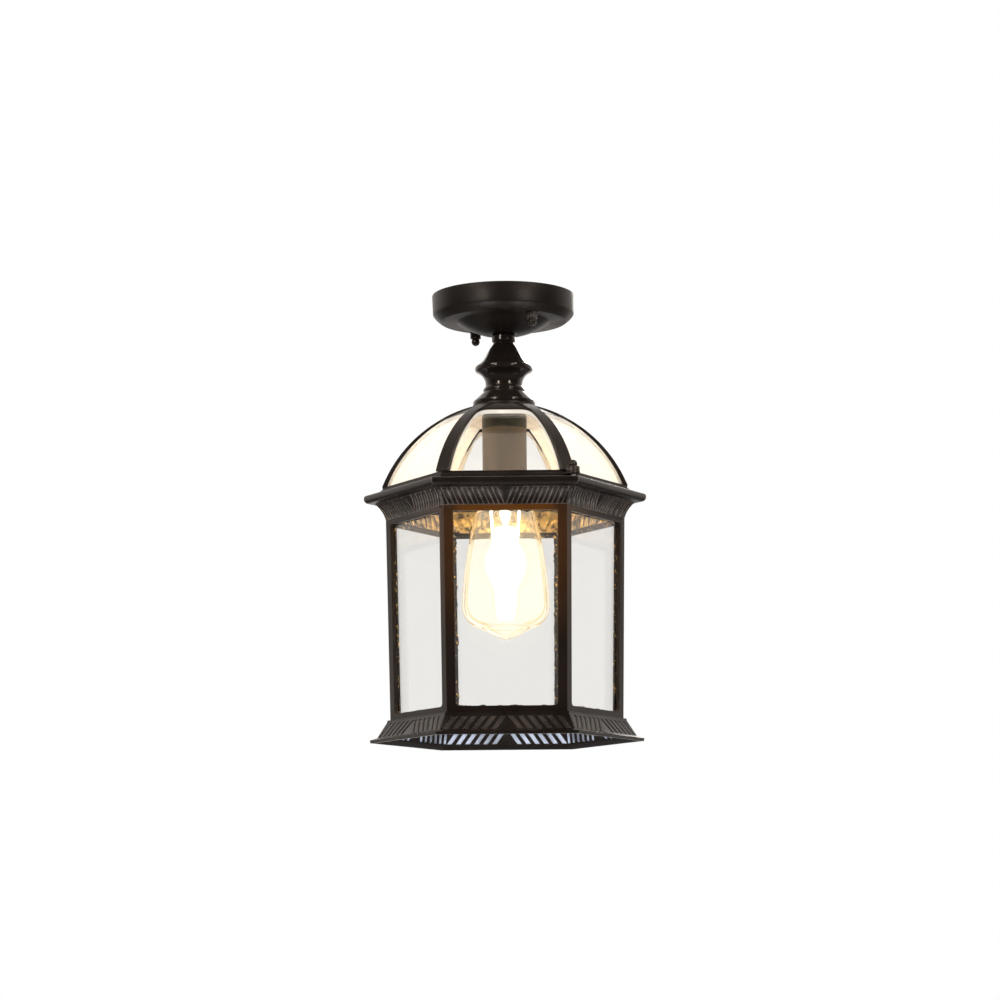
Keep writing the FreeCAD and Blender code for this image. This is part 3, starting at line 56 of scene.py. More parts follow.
# %% [markdown]
# ## The camera
# The picture was taken from slightly below, looking up by about eight and a half degrees through a long lens.
# The canopy's ellipse and the slopes of the cage's edges fix the camera's place, so it is set from those
# numbers rather than by eye. The picture also leans by half a degree, which is a small roll.

# %% Camera
CAMERA_PLACE = (-0.0039, -2.3141, -0.5094)
LOOKING_UP, LEAN = math.radians(8.53), math.radians(-0.5)


def in_scene(name, data):
    """An object of the scene that holds some data."""
    thing = bpy.data.objects.new(name, data)
    bpy.context.scene.collection.objects.link(thing)
    return thing


camera_data = bpy.data.cameras.new("camera")
camera_data.lens = 108
camera_data.sensor_width = 36
camera = in_scene("camera", camera_data)
pitch = Matrix.Rotation(math.radians(90) + LOOKING_UP, 4, "X")
camera.matrix_world = Matrix.Translation(CAMERA_PLACE) @ pitch @ Matrix.Rotation(LEAN, 4, "Z")
bpy.context.scene.camera = camera
print("camera at", [round(value, 3) for value in camera.matrix_world.translation])

# %% [markdown]
# ## Helpers for materials
# A Blender material is a small network: nodes that make patterns, nodes that mix them, and a shader at the
# end. Written call by call such networks get long, so a few helpers make a node, fill its inputs and hand
# back the output that is wanted. Each input is given as a number, as a colour or as another node's output.


# %% Making nodes
def fill(tree, socket, value):
    """Sets an input to a number or colour, or links it to another node's output."""
    if hasattr(value, "links"):
        tree.links.new(value, socket)
    else:
        socket.default_value = value


def add_node(tree, kind, *values, **settings):
    """A node of a kind. Values fill inputs in order, and settings name a property or an input."""
    node = tree.nodes.new(f"ShaderNode{kind}")
    for key, value in settings.items():
        if hasattr(node, key):
            setattr(node, key, value)
        else:
            fill(tree, node.inputs[key.replace("_", " ")], value)
    for socket, value in zip(node.inputs, values):
        fill(tree, socket, value)
    return node


def new_material(name):
    """An empty node material and its tree."""
    material = bpy.data.materials.new(name)
    material.use_nodes = True
    material.node_tree.nodes.clear()
    return material, material.node_tree


def show(tree, surface, kind="OutputMaterial"):
    """Sends a finished shader to the network's output."""
    fill(tree, add_node(tree, kind).inputs["Surface"], surface)


print("node helpers ready")


# %% Sums and mixes
def calculate(tree, operation, *values):
    """The result of a math node."""
    return add_node(tree, "Math", *values, operation=operation).outputs[0]


def vector_maths(tree, operation, *values):
    """The result of a vector math node, which is a number for a dot product or a distance."""
    node = add_node(tree, "VectorMath", *values, operation=operation)
    return node.outputs["Value" if operation in ("DOT_PRODUCT", "DISTANCE") else "Vector"]


def ramp(tree, value, low, high, to_low=0.0, to_high=1.0):
    """Maps a value from one range to another, clamped."""
    node = add_node(tree, "MapRange", Value=value, From_Min=low, From_Max=high, To_Min=to_low, To_Max=to_high)
    return node.outputs["Result"]


def blend_colour(tree, factor, first, second):
    """Mixes two colours, each a plain red, green and blue or another node's output."""
    first, second = [hue if hasattr(hue, "links") else (*hue, 1) for hue in (first, second)]
    return add_node(tree, "Mix", data_type="RGBA", Factor=factor, A=first, B=second).outputs["Result"]


def mix_shaders(tree, factor, first, second):
    """The first shader where the factor is zero, the second where it is one."""
    return add_node(tree, "MixShader", factor, first, second).outputs[0]


def cloudy(tree, place, scale, detail=3.0):
    """Cloudy noise over the object's own coordinates."""
    return add_node(tree, "TexNoise", Scale=scale, Detail=detail, Vector=place["Object"]).outputs["Fac"]


def toned(colour, share):
    """A colour darkened or brightened by a share, never past white."""
    return [min(1, value * share) for value in colour]


print("mixing helpers ready")

# %% [markdown]
# ## Floor and light
# A studio with a pale floor and a white backdrop. The world looks white to the camera and through glass, but
# lights the object at a lower level. Shiny metal mirrors the white backdrop behind the lantern and a darker
# room on the camera's side, which is what gives black paint its depth. The floor is a matt sheet that keeps
# the lantern's shadow, and it is lifted towards white for the camera and through glass only.

# %% Floor
FLOOR_HEIGHT, FLOOR_SIZE = -1.35, 4.5
FLOOR_LIFT = 0.5
floor_mesh = bmesh.new()
bmesh.ops.create_grid(floor_mesh, x_segments=1, y_segments=1, size=FLOOR_SIZE)
bmesh.ops.translate(floor_mesh, verts=floor_mesh.verts, vec=(0, 0, FLOOR_HEIGHT))
floor_data = bpy.data.meshes.new("floor")
floor_mesh.to_mesh(floor_data)
floor_mesh.free()
floor = in_scene("floor", floor_data)

floor_material, tree = new_material("pale_floor")
ray = add_node(tree, "LightPath").outputs
tone = blend_colour(tree, ray["Is Glossy Ray"], (0.86, 0.86, 0.85), (0.22, 0.22, 0.23))
matt = add_node(tree, "BsdfDiffuse", Color=tone).outputs[0]
looked_at = calculate(tree, "MAXIMUM", ray["Is Camera Ray"], ray["Is Transmission Ray"])
lift = calculate(tree, "MULTIPLY", looked_at, FLOOR_LIFT)
white = add_node(tree, "Emission", Color=(1, 1, 1, 1), Strength=lift).outputs[0]
show(tree, add_node(tree, "AddShader", matt, white).outputs[0])
floor_data.materials.append(floor_material)
print("floor at", FLOOR_HEIGHT)

# %% World
ROOM_LIGHT, ROOM_MIRRORED, BACKDROP_MIRRORED = 0.55, 0.035, 1.0
BACKDROP_START, BACKDROP_END = -0.1, 0.75
world = bpy.data.worlds.new("studio")
bpy.context.scene.world = world
world.use_nodes = True
tree = world.node_tree
tree.nodes.clear()
ray = add_node(tree, "LightPath").outputs
looked_at = calculate(tree, "MAXIMUM", ray["Is Camera Ray"], ray["Is Transmission Ray"])
direction = add_node(tree, "SeparateXYZ", add_node(tree, "TexCoord").outputs["Generated"]).outputs
backdrop = ramp(tree, direction["Y"], BACKDROP_START, BACKDROP_END, ROOM_MIRRORED, BACKDROP_MIRRORED)
room = add_node(tree, "Background", Color=(0.97, 0.96, 0.95, 1), Strength=ROOM_LIGHT).outputs[0]
mirrored = add_node(tree, "Background", Color=(1, 0.95, 0.90, 1), Strength=backdrop).outputs[0]
white = add_node(tree, "Background", Color=(1, 1, 1, 1), Strength=1.0).outputs[0]
lit = mix_shaders(tree, ray["Is Glossy Ray"], room, mirrored)
show(tree, mix_shaders(tree, looked_at, lit, white), "OutputWorld")
bpy.context.scene.view_settings.view_transform = "Standard"
print("world:", world.name)

# %% [markdown]
# ## Lamps
# Softboxes give the long soft highlights on the neck and the posts. Each is a rectangular lamp, aimed at the
# middle of the lantern. Two small lamps stand for the light of the bulb itself: one in the bulb, and one
# above and behind it that lights the dome's lining. They are hidden from reflections and from view through
# the glass, because the bulb that is seen is made as a real piece.

# %% Softboxes and the bulb's own light
LANTERN_MIDDLE = Vector((0, 0, -0.18))
WARM, WARMER, COOL, NEUTRAL = (1, 0.97, 0.93), (1, 0.95, 0.9), (0.90, 0.94, 1), (1, 0.98, 0.96)
BULB_COLOUR = (1, 0.76, 0.48)


def softbox(name, place, width, height, power, colour):
    """A rectangular lamp that looks at the middle of the lantern."""
    lamp = bpy.data.lights.new(name, "AREA")
    lamp.shape = "RECTANGLE"
    lamp.size, lamp.size_y = width, height
    lamp.energy = power
    lamp.color = colour
    aim = (LANTERN_MIDDLE - Vector(place)).to_track_quat("-Z", "Y").to_matrix().to_4x4()
    in_scene(name, lamp).matrix_world = Matrix.Translation(place) @ aim


def bulb_light(name, place, power):
    """A small warm lamp that lights its surroundings and is never seen itself."""
    lamp = bpy.data.lights.new(name, "POINT")
    lamp.energy = power
    lamp.color = BULB_COLOUR
    lamp.shadow_soft_size = 0.006
    light = in_scene(name, lamp)
    light.location = place
    light.visible_glossy = False
    light.visible_transmission = False


softbox("key_softbox", (-1.25, -1.0, 1.15), 0.2, 0.2, 5, WARM)
softbox("fill_softbox", (1.25, -0.95, 1.1), 0.18, 0.18, 4, WARM)
softbox("low_left_softbox", (-0.42, -0.45, -1.1), 0.22, 0.22, 2.4, COOL)
softbox("low_right_softbox", (0.45, -0.42, -1.1), 0.20, 0.20, 2.4, COOL)
softbox("high_left_softbox", (-0.55, -0.6, 0.95), 0.22, 0.22, 2.4, WARMER)
softbox("high_right_softbox", (0.6, -0.55, 0.95), 0.20, 0.20, 2.0, WARMER)
softbox("back_softbox", (0.4, 1.5, 0.5), 0.5, 0.5, 5, WARM)
softbox("left_strip", (-0.62, -0.9, 0.14), 0.15, 0.34, 2.6, NEUTRAL)
softbox("right_strip", (0.62, -0.9, 0.14), 0.15, 0.34, 2.2, NEUTRAL)
bulb_light("bulb_light", (0, 0, -0.170), 0.36)
bulb_light("dome_light", (0, 0.053, -0.146), 0.10)

# %% [markdown]
# ## Where a finish or painted light changes
# The same casting is bronze outside and something else inside: the bulb's light painted on as gold behind
# the cornice's reeds, and cream under the dome. It could be cut into separate pieces, but it is one piece in
# reality. So the material works out where a point lies from the object's own coordinates, and each function
# here returns one where a finish or painted light applies and zero elsewhere. The lantern has six sides, so
# most of them start from how far a point is from the axis, measured square to the nearest side.


# %% Masks that follow the lantern's shape
HALF_SIDE_ANGLE = math.pi / 6
LOOKING_IN, LOOKING_WELL_IN = -0.15, -0.35


def faces_axis(tree, place):
    """One on faces that look towards the lantern's axis, zero on the others."""
    outward = vector_maths(tree, "NORMALIZE", vector_maths(tree, "MULTIPLY", place["Object"], (1, 1, 0)))
    facing = vector_maths(tree, "DOT_PRODUCT", outward, place["Normal"])
    return ramp(tree, facing, LOOKING_IN, LOOKING_WELL_IN)


def side_distance(tree, place):
    """How far a point lies from the axis, measured square to the nearest of the six sides."""
    widest = None
    for side in range(3):
        angle = math.radians(30 + 60 * side)
        square_to_side = (math.cos(angle), math.sin(angle), 0)
        reach = vector_maths(tree, "DOT_PRODUCT", place["Object"], square_to_side)
        size = calculate(tree, "ABSOLUTE", reach)
        widest = size if widest is None else calculate(tree, "MAXIMUM", widest, size)
    return widest


print("shape masks ready")

# %% [markdown]
# The skirt's grooves are cut into both faces of a slanted wall, and they take a paler colour: brown wear on
# the outer face, and a painted cool reflection on the inner face.
# A groove's floor lies closer to the middle of the wall than the land beside it, so the distance from that
# middle tells them apart, which keeps the stripes crisp. The wall faces along (SKIRT_OUT, SKIRT_UP), and
# SKIRT_MIDDLE is where the middle of its thickness lies that way.

# %% Grooves of the skirt
SKIRT_OUT, SKIRT_UP, SKIRT_MIDDLE = 0.87197, 0.48956, -0.0954885
GROOVE_CLEAR, GROOVE_FULL = 0.00102, 0.00090
FLANGE_FOOT, FLANGE_EDGE = -0.3365, -0.3369
LIP_FOOT, LIP_TOP = -0.3474, -0.3470


def skirt_grooves(tree, place):
    """One in the skirt's grooves, on both faces of its slanted wall, and zero on the lands between them."""
    height = add_node(tree, "SeparateXYZ", place["Object"]).outputs["Z"]
    outward = calculate(tree, "MULTIPLY", side_distance(tree, place), SKIRT_OUT)
    slant = calculate(tree, "ADD", outward, calculate(tree, "MULTIPLY", height, SKIRT_UP))
    off_middle = calculate(tree, "ABSOLUTE", calculate(tree, "SUBTRACT", slant, SKIRT_MIDDLE))
    in_groove = ramp(tree, off_middle, GROOVE_CLEAR, GROOVE_FULL)
    below_flange = ramp(tree, height, FLANGE_FOOT, FLANGE_EDGE)
    on_wall = calculate(tree, "MULTIPLY", below_flange, ramp(tree, height, LIP_FOOT, LIP_TOP))
    return calculate(tree, "MULTIPLY", in_groove, on_wall)


print("grooves within", GROOVE_FULL, "m of the middle of the skirt's wall")

# %% [markdown]
# The dome's ribs are bronze outside and cream inside, the cream standing for the pale sealant there and for
# the bulb's light painted on. Each side of the dome is an arc of DOME_RADIUS, whose centre lies DOME_OFFSET
# past the axis at the height DOME_CENTRE, so how deep a point lies under the outer face follows from that
# circle. The bronze reaches a little way round the ribs, further on the front ones.

# %% Cream and painted light inside the dome
DOME_RADIUS, DOME_OFFSET, DOME_CENTRE = 0.105, 0.0023, -0.1903
FRONT_BRONZE, REAR_BRONZE, PAINT_FADE = 0.0005, 0.0002, 0.0004
RING_TOP, CREAM_FOOT = -0.1515, -0.1505


def dome_cream_and_light(tree, place):
    """One on the dome casting's inner faces, which take the cream and painted bulb light, and zero on the
    faces that are seen from outside.
    """
    spot = add_node(tree, "SeparateXYZ", place["Object"]).outputs
    side_to_corner = 1 / math.cos(HALF_SIDE_ANGLE)
    run = calculate(tree, "MULTIPLY_ADD", side_distance(tree, place), side_to_corner, DOME_OFFSET)
    rise = calculate(tree, "SUBTRACT", spot["Z"], DOME_CENTRE)
    squares = [calculate(tree, "MULTIPLY", length, length) for length in (run, rise)]
    reach = calculate(tree, "SQRT", calculate(tree, "ADD", *squares))
    depth = calculate(tree, "SUBTRACT", DOME_RADIUS, reach)
    bronze_depth = ramp(tree, spot["Y"], -0.01, 0.01, FRONT_BRONZE, REAR_BRONZE)
    inner = ramp(tree, calculate(tree, "SUBTRACT", depth, bronze_depth), 0.0, PAINT_FADE)
    return calculate(tree, "MULTIPLY", inner, ramp(tree, spot["Z"], RING_TOP, CREAM_FOOT))


print("dome lining under a radius of", DOME_RADIUS, "m")

# %% [markdown]
# The cage's paint carries a painted brown glow of the lamp's light, strongest above the bulb and less so down
# the posts. A distance from one warm spot gives that fade, and it is weaker past the window's edge.

# %% Painted glow of the lamp
WARM_SPOT = (0, -0.085, -0.195)
WARM_REACH, WARM_CORE = 0.095, 0.03
WINDOW_HALF, POST_MIDDLE = 0.034, 0.041


def painted_lamp_glow(tree, place):
    """One where the lamp's glow is painted, at the top of the front window, fading down and over its posts.
    """
    away = vector_maths(tree, "DISTANCE", place["Object"], WARM_SPOT)
    across = calculate(tree, "ABSOLUTE", add_node(tree, "SeparateXYZ", place["Object"]).outputs["X"])
    beside = ramp(tree, across, WINDOW_HALF, POST_MIDDLE, 1.0, 0.4)
    return calculate(tree, "MULTIPLY", beside, ramp(tree, away, WARM_REACH, WARM_CORE))


print("warm spot at", WARM_SPOT)

# %% [markdown]
# ## The bronze finish
# The metal is painted a very dark brown, and the finish is rubbed through a little along the edges, where a
# warmer brown shows; on the cornice's reeds the edges are paler, a painted highlight along with that wear. A
# fine grain in the paint breaks up the highlights. The marked edges come from comparing the true surface
# direction with one that is rounded over the edge, so they follow the shape from any side. On the skirt the
# mark lies in the grooves instead: brown on the outer face, and a painted cool reflection on the inner face.


# %% Bronze finish
CLOUDS, CRUMPLES, SMEARS, SPECKS = 38.0, 130.0, 60.0, 1100.0
FULL_EDGE_MARK = 0.90


def edges_of_wear_and_highlight(tree, eased, start):
    """One on edges, where the true and the rounded surface directions differ, and zero on flat faces."""
    flat = add_node(tree, "NewGeometry").outputs["Normal"]
    return ramp(tree, vector_maths(tree, "DOT_PRODUCT", flat, eased), start, FULL_EDGE_MARK)


def crinkled_painted_light(tree, place, painted_bulb_glow):
    """Golden painted bulb light that looks crinkled, in clouds from nearly black shade through the colour
    itself to a bright highlight.
    """
    clouds = cloudy(tree, place, CRUMPLES, 2.0)
    folds = blend_colour(tree, ramp(tree, clouds, 0.42, 0.5), toned(painted_bulb_glow, 0.12), painted_bulb_glow)
    return blend_colour(tree, ramp(tree, clouds, 0.56, 0.62), folds, toned(painted_bulb_glow, 1.9))


def smeared(tree, place, paint):
    """A pale colour with soft darker smears."""
    smear = ramp(tree, cloudy(tree, place, SMEARS), 0.35, 0.65)
    return blend_colour(tree, smear, toned(paint, 0.8), paint)


def bronze(name, dark, wear_and_highlight, roughness, specular, grain=0.4, edge=0.0005, start=0.995, painted_bulb_glow=None,
           inner_painted_reflection=None, cream_and_light=None, warm=None, grooves=False):
    """Dark bronze paint on cast, spun or turned metal, brown with wear along its edges or in its grooves,
    with painted light where asked.
    """
    material, tree = new_material(name)
    place = add_node(tree, "TexCoord").outputs
    eased = add_node(tree, "Bevel", samples=6, Radius=edge).outputs["Normal"]
    clouds = cloudy(tree, place, CLOUDS, 4.0)
    tone = blend_colour(tree, clouds, toned(dark, 0.7), toned(dark, 1.35))
    # Painted light: the bulb's light on the faces towards the axis, laid in as crumpled gold.
    if painted_bulb_glow:
        tone = blend_colour(tree, faces_axis(tree, place), tone, crinkled_painted_light(tree, place, painted_bulb_glow))
    # Painted light: a cool reflection on the faces towards the axis, in place of the brown wear.
    if inner_painted_reflection:
        wear_and_highlight = blend_colour(tree, faces_axis(tree, place), wear_and_highlight, inner_painted_reflection)
    # Edges of wear, paler on the cornice's reeds as painted highlights; on the skirt, grooves with a painted
    # reflection inside.
    wear_and_glint_mask = skirt_grooves(tree, place) if grooves else edges_of_wear_and_highlight(tree, eased, start)
    patchy = calculate(tree, "MULTIPLY", wear_and_glint_mask, ramp(tree, clouds, 0.35, 0.6, 0.35, 1.0))
    colour = blend_colour(tree, patchy, tone, wear_and_highlight)
    # Painted light: cream on the dome's inner faces, for the pale sealant and the bulb's light on them.
    if cream_and_light:
        colour = blend_colour(tree, dome_cream_and_light(tree, place), colour, smeared(tree, place, cream_and_light))
    # Painted light: the lamp's brown glow on the cage, laid into the paint's colour.
    if warm:
        colour = blend_colour(tree, painted_lamp_glow(tree, place), colour, warm)
    specks = cloudy(tree, place, SPECKS, 2.0)
    bump = add_node(tree, "Bump", Strength=grain, Distance=0.0002, Height=specks, Normal=eased)
    shine = ramp(tree, clouds, 0.3, 0.7, roughness - 0.05, roughness + 0.06)
    paint = add_node(tree, "BsdfPrincipled", Base_Color=colour, Roughness=shine, Specular_IOR_Level=specular,
                     Specular_Tint=(1, 0.88, 0.78, 1), Normal=bump.outputs["Normal"])
    show(tree, paint.outputs[0])
    return material


print("bronze helpers ready")

# %% [markdown]
# The lantern takes six variants of that paint. The neck is glossy and the canopy satin. The dome is cream
# inside, for its pale sealant and the bulb's light painted on; the cornice has the bulb's light painted
# inside as crumpled gold and pale painted highlights on its reeds; the cage carries the lamp's glow painted
# on in brown; and the skirt's grooves hold a painted cool pale reflection on its inner face.

# %% The lantern's six bronzes
BROWN = (0.06, 0.035, 0.022)
spun_bronze = bronze("spun_bronze", (0.013, 0.0095, 0.0075), BROWN, 0.15, 0.6, grain=0.03)
canopy_bronze = bronze("canopy_bronze", (0.0085, 0.0062, 0.0050), BROWN, 0.40, 0.32, grain=0.03)
dome_bronze = bronze("dome_bronze", (0.015, 0.0095, 0.007), (0.08, 0.055, 0.04), 0.36, 0.35,
                     cream_and_light=(0.97, 0.92, 0.84))
# The cornice's pale edges are painted highlights along with wear, and its gold inside is the bulb's light
# painted on.
reeded_bronze = bronze("reeded_bronze", (0.007, 0.0042, 0.003), (0.30, 0.23, 0.19), 0.28, 0.5, edge=0.0012,
                       start=0.999, painted_bulb_glow=(0.46, 0.31, 0.10))
# The cage's warm colour is the lamp's glow, painted on.
cage_bronze = bronze("cage_bronze", (0.011, 0.0062, 0.004), (0.07, 0.045, 0.028), 0.34, 0.3,
                     warm=(0.115, 0.036, 0.002))
# On the inner face the skirt's grooves carry a painted cool reflection.
skirt_bronze = bronze("skirt_bronze", (0.0085, 0.0055, 0.004), (0.055, 0.042, 0.034), 0.28, 0.4,
                      inner_painted_reflection=(0.66, 0.72, 0.88), grooves=True)
print("bronze finishes:", [item.name for item in bpy.data.materials if "bronze" in item.name])

# %% [markdown]
# ## Plain metals, plastics and porcelain
# The small parts inside are zinc, brass, porcelain and plastic. One helper gives each its colour, a fine
# mottle and a slight unevenness, which is enough at their size. The sealant has golden flecks in it, where
# the lamp shines through its thin edges.


# %% Small-part finishes
def small_finish(name, colour, roughness, metallic=0.0, mottle=0.12, scale=400.0, flecks=None):
    """A mottled finish for the small parts."""
    material, tree = new_material(name)
    place = add_node(tree, "TexCoord").outputs
    clouds = cloudy(tree, place, scale)
    coat = blend_colour(tree, clouds, toned(colour, 1 - mottle), toned(colour, 1 + mottle))
    if flecks:
        coat = blend_colour(tree, ramp(tree, cloudy(tree, place, 420.0), 0.60, 0.66), coat, flecks)
    bump = add_node(tree, "Bump", Strength=0.15, Distance=0.0001, Height=clouds)
    shader = add_node(tree, "BsdfPrincipled", Roughness=roughness, Metallic=metallic, Base_Color=coat,
                      Normal=bump.outputs["Normal"])
    show(tree, shader.outputs[0])
    return material


SMALL_FINISHES = {
    "zinc": dict(colour=(0.55, 0.55, 0.54), roughness=0.35, metallic=1.0),
    "brass": dict(colour=(0.7, 0.52, 0.22), roughness=0.3, metallic=1.0),
    "green_screw": dict(colour=(0.04, 0.22, 0.08), roughness=0.35, metallic=0.6),
    "porcelain": dict(colour=(0.82, 0.8, 0.75), roughness=0.2, mottle=0.03),
    "socket_cup_paint": dict(colour=(0.022, 0.018, 0.008), roughness=0.35, mottle=0.8, scale=120.0),
    "sleeve_paint": dict(colour=(0.110, 0.076, 0.042), roughness=0.55, mottle=0.2, scale=60.0),
    "black_glass": dict(colour=(0.02, 0.02, 0.025), roughness=0.15),
    "solder": dict(colour=(0.6, 0.6, 0.6), roughness=0.3, metallic=1.0),
    "black_lead": dict(colour=(0.015, 0.015, 0.015), roughness=0.45),
    "white_lead": dict(colour=(0.75, 0.75, 0.72), roughness=0.45),
    "green_lead": dict(colour=(0.03, 0.25, 0.08), roughness=0.45),
    "orange_cap": dict(colour=(0.8, 0.3, 0.03), roughness=0.35),
    "clear_sealant": dict(colour=(0.85, 0.79, 0.68), roughness=0.3, mottle=0.1),
    "sealant_bead": dict(colour=(0.012, 0.009, 0.006), roughness=0.5, mottle=0.5, flecks=(0.75, 0.45, 0.12)),
}
finishes = {name: small_finish(name, **look) for name, look in SMALL_FINISHES.items()}
print("small finishes:", len(finishes))

# %% [markdown]
# ## Glass
# The panes are clear, with the slightly grey body of ordinary sheet glass, and four panes of the dome carry a
# film of dust with a painted glow, standing for the lamp's light on it. Light from the lamps has to pass
# through the glass, and a path tracer finds that hard through a refracting surface, so for shadow rays only
# the glass is simply see-through.


# %% Clear glass
def lets_light_through(tree, surface, passing):
    """A glass surface that is plainly see-through to shadow rays."""
    through = add_node(tree, "BsdfTransparent", Color=(*passing, 1)).outputs[0]
    return mix_shaders(tree, add_node(tree, "LightPath").outputs["Is Shadow Ray"], surface, through)


def dirt_film_with_glow(tree, place, glass, dirt_and_glow, most):
    """Glass under a dirt film that carries a painted glow, which shows more where the pane is seen at a
    slant.
    """
    # The film's emission is a painted glow of the lamp's light on the dust.
    film = add_node(tree, "BsdfPrincipled", Roughness=0.6, Base_Color=(*dirt_and_glow, 1), Emission_Color=(*dirt_and_glow, 1),
                    Emission_Strength=0.55).outputs[0]
    slant = add_node(tree, "LayerWeight", Blend=0.5).outputs["Facing"]
    streaks = ramp(tree, cloudy(tree, place, 30.0), 0.35, 0.65, 0.7, 1.0)
    share = calculate(tree, "MULTIPLY", streaks, ramp(tree, slant, 0.1, 0.7, 0.0, most))
    return mix_shaders(tree, share, glass, film)


def clear_glass(name, tint, passing, dirt_and_glow=None, most=0.0):
    """Sheet glass with a slight wave in it, clean or under a dirt film with a painted glow."""
    material, tree = new_material(name)
    place = add_node(tree, "TexCoord").outputs
    wave = add_node(tree, "Bump", Strength=0.04, Distance=0.001, Height=cloudy(tree, place, 14.0, 1.0))
    surface = add_node(tree, "BsdfPrincipled", Roughness=0.0, IOR=1.45, Base_Color=(*tint, 1),
                       Transmission_Weight=1.0, Normal=wave.outputs["Normal"]).outputs[0]
    if dirt_and_glow:
        surface = dirt_film_with_glow(tree, place, surface, dirt_and_glow, most)
    show(tree, lets_light_through(tree, surface, passing))
    return material


side_glass = clear_glass("side_glass", (0.915, 0.91, 0.895), (0.95, 0.95, 0.94))
dome_glass = clear_glass("dome_glass", (0.985, 0.97, 0.94), (0.97, 0.96, 0.94))
# Four dome panes take dust with a painted glow of the lamp's light.
dirty_glowing_glass = clear_glass("dirty_glowing_glass", (0.985, 0.97, 0.94), (0.97, 0.96, 0.94), (0.84, 0.77, 0.66), 0.9)
print("sheet glass:", side_glass.name, dome_glass.name, dirty_glowing_glass.name)

# %% [markdown]
# The bulb is thin blown glass, lit from inside. In the picture it has a warm haze all over and a golden line
# where the glass turns away from the eye. Layer Weight tells how much a surface is turned away, so it steers
# both the colour and the strength of that glow.


# %% Bulb glass
def bulb_finish(name, glow, rim, glow_strength, rim_strength):
    """Thin blown glass, lit from inside: a warm haze over it and a golden line where it turns away."""
    material, tree = new_material(name)
    place = add_node(tree, "TexCoord").outputs
    edge = ramp(tree, add_node(tree, "LayerWeight", Blend=0.5).outputs["Facing"], 0.70, 0.95)
    haze = ramp(tree, cloudy(tree, place, 25.0), 0.3, 0.7, glow_strength * 0.8, glow_strength * 1.2)
    strength = calculate(tree, "ADD", haze, calculate(tree, "MULTIPLY", edge, rim_strength))
    glass = add_node(tree, "BsdfPrincipled", Roughness=0.0, IOR=1.2, Transmission_Weight=1.0,
                     Base_Color=blend_colour(tree, edge, (1.0, 0.985, 0.95), (1.0, 0.80, 0.42)),
                     Emission_Color=blend_colour(tree, edge, glow, rim), Emission_Strength=strength)
    show(tree, lets_light_through(tree, glass.outputs[0], (1, 0.98, 0.94)))
    return material


bulb_glass = bulb_finish("bulb_glass", (1.0, 0.80, 0.52), (1.0, 0.62, 0.16), 0.10, 0.35)
print("blown glass:", bulb_glass.name)

# %% [markdown]
# Inside the bulb the filaments give light themselves, and their wires carry a painted glow of that light.
# Their finish is a plain Emission, which can be thinned with a see-through shader where only a haze is
# wanted.


# %% Light-giving finishes
def glowing(name, colour, strength, cover=1.0):
    """A surface that gives light; below full cover it is also partly see-through."""
    material, tree = new_material(name)
    place = add_node(tree, "TexCoord").outputs
    hue = blend_colour(tree, cloudy(tree, place, 120.0), colour, (1.0, 0.93, 0.78))
    light = add_node(tree, "Emission", Color=hue, Strength=strength).outputs[0]
    show(tree, mix_shaders(tree, cover, add_node(tree, "BsdfTransparent").outputs[0], light))
    return material


filament_glow = glowing("filament_glow", (1.0, 0.74, 0.40), 30.0)
# The wires' emission is a painted glow of the filaments' light on them.
painted_wire_glow = glowing("painted_wire_glow", (1.0, 0.80, 0.50), 2.5)
print("glow:", filament_glow.name, painted_wire_glow.name)

# %% [markdown]
# ## Turned and spun pieces
# The canopy, the collar and the neck are round. Each is an outline of radius and height, spun once round the
# axis. An outline point may carry a swell, which bows the edge that ends there, as the part's drawing does.
# Sharp edges are then eased with a small bevel, as a spinner's tool or the paint leaves them.


# %% Outlines and spinning
BOW_STEPS = 10
SHARP, EASED_SEGMENTS = math.radians(25), 2


def bowed(points):
    """A closed outline in metres from (radius, height) or (radius, height, swell) points in millimetres."""
    outline = []
    count = len(points)
    for index in range(count):
        start, end = points[index], points[(index + 1) % count]
        outline.append(Vector((start[0], 0, start[1])) * MM)
        swell = end[2] if len(end) > 2 else 0
        if not swell:
            continue
        run = Vector((end[0] - start[0], end[1] - start[1]))
        side = Vector((run.y, -run.x)).normalized()
        radius = run.length ** 2 / (8 * abs(swell)) + abs(swell) / 2
        half = math.asin(min(1, run.length / 2 / radius))
        centre = (Vector(start[:2]) + Vector(end[:2])) / 2 + side * (swell - math.copysign(radius, swell))
        for step in range(1, BOW_STEPS):
            angle = half * (2 * step / BOW_STEPS - 1)
            along = run.normalized() * math.sin(angle) * radius
            out = side * math.copysign(math.cos(angle) * radius, swell)
            spot = centre + along + out
            outline.append(Vector((spot.x, 0, spot.y)) * MM)
    return outline


def piece(name, mesh, material, body, smooth=30):
    """Links a finished mesh as a piece that rides on a body."""
    data = bpy.data.meshes.new(name)
    mesh.to_mesh(data)
    mesh.free()
    data.shade_smooth()
    data.set_sharp_from_angle(angle=math.radians(smooth))
    data.materials.append(material)
    made = in_scene(name, data)
    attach(made, body)
    print(name, len(data.polygons), "faces")
    return made


def ease(mesh, width):
    """Bevels the sharp edges of a closed mesh."""
    sharp = [edge for edge in mesh.edges if len(edge.link_faces) == 2 and edge.calc_face_angle(0) > SHARP]
    bmesh.ops.bevel(mesh, geom=sharp, offset=width, segments=EASED_SEGMENTS, profile=0.5, affect="EDGES",
                    clamp_overlap=True, material=-1)


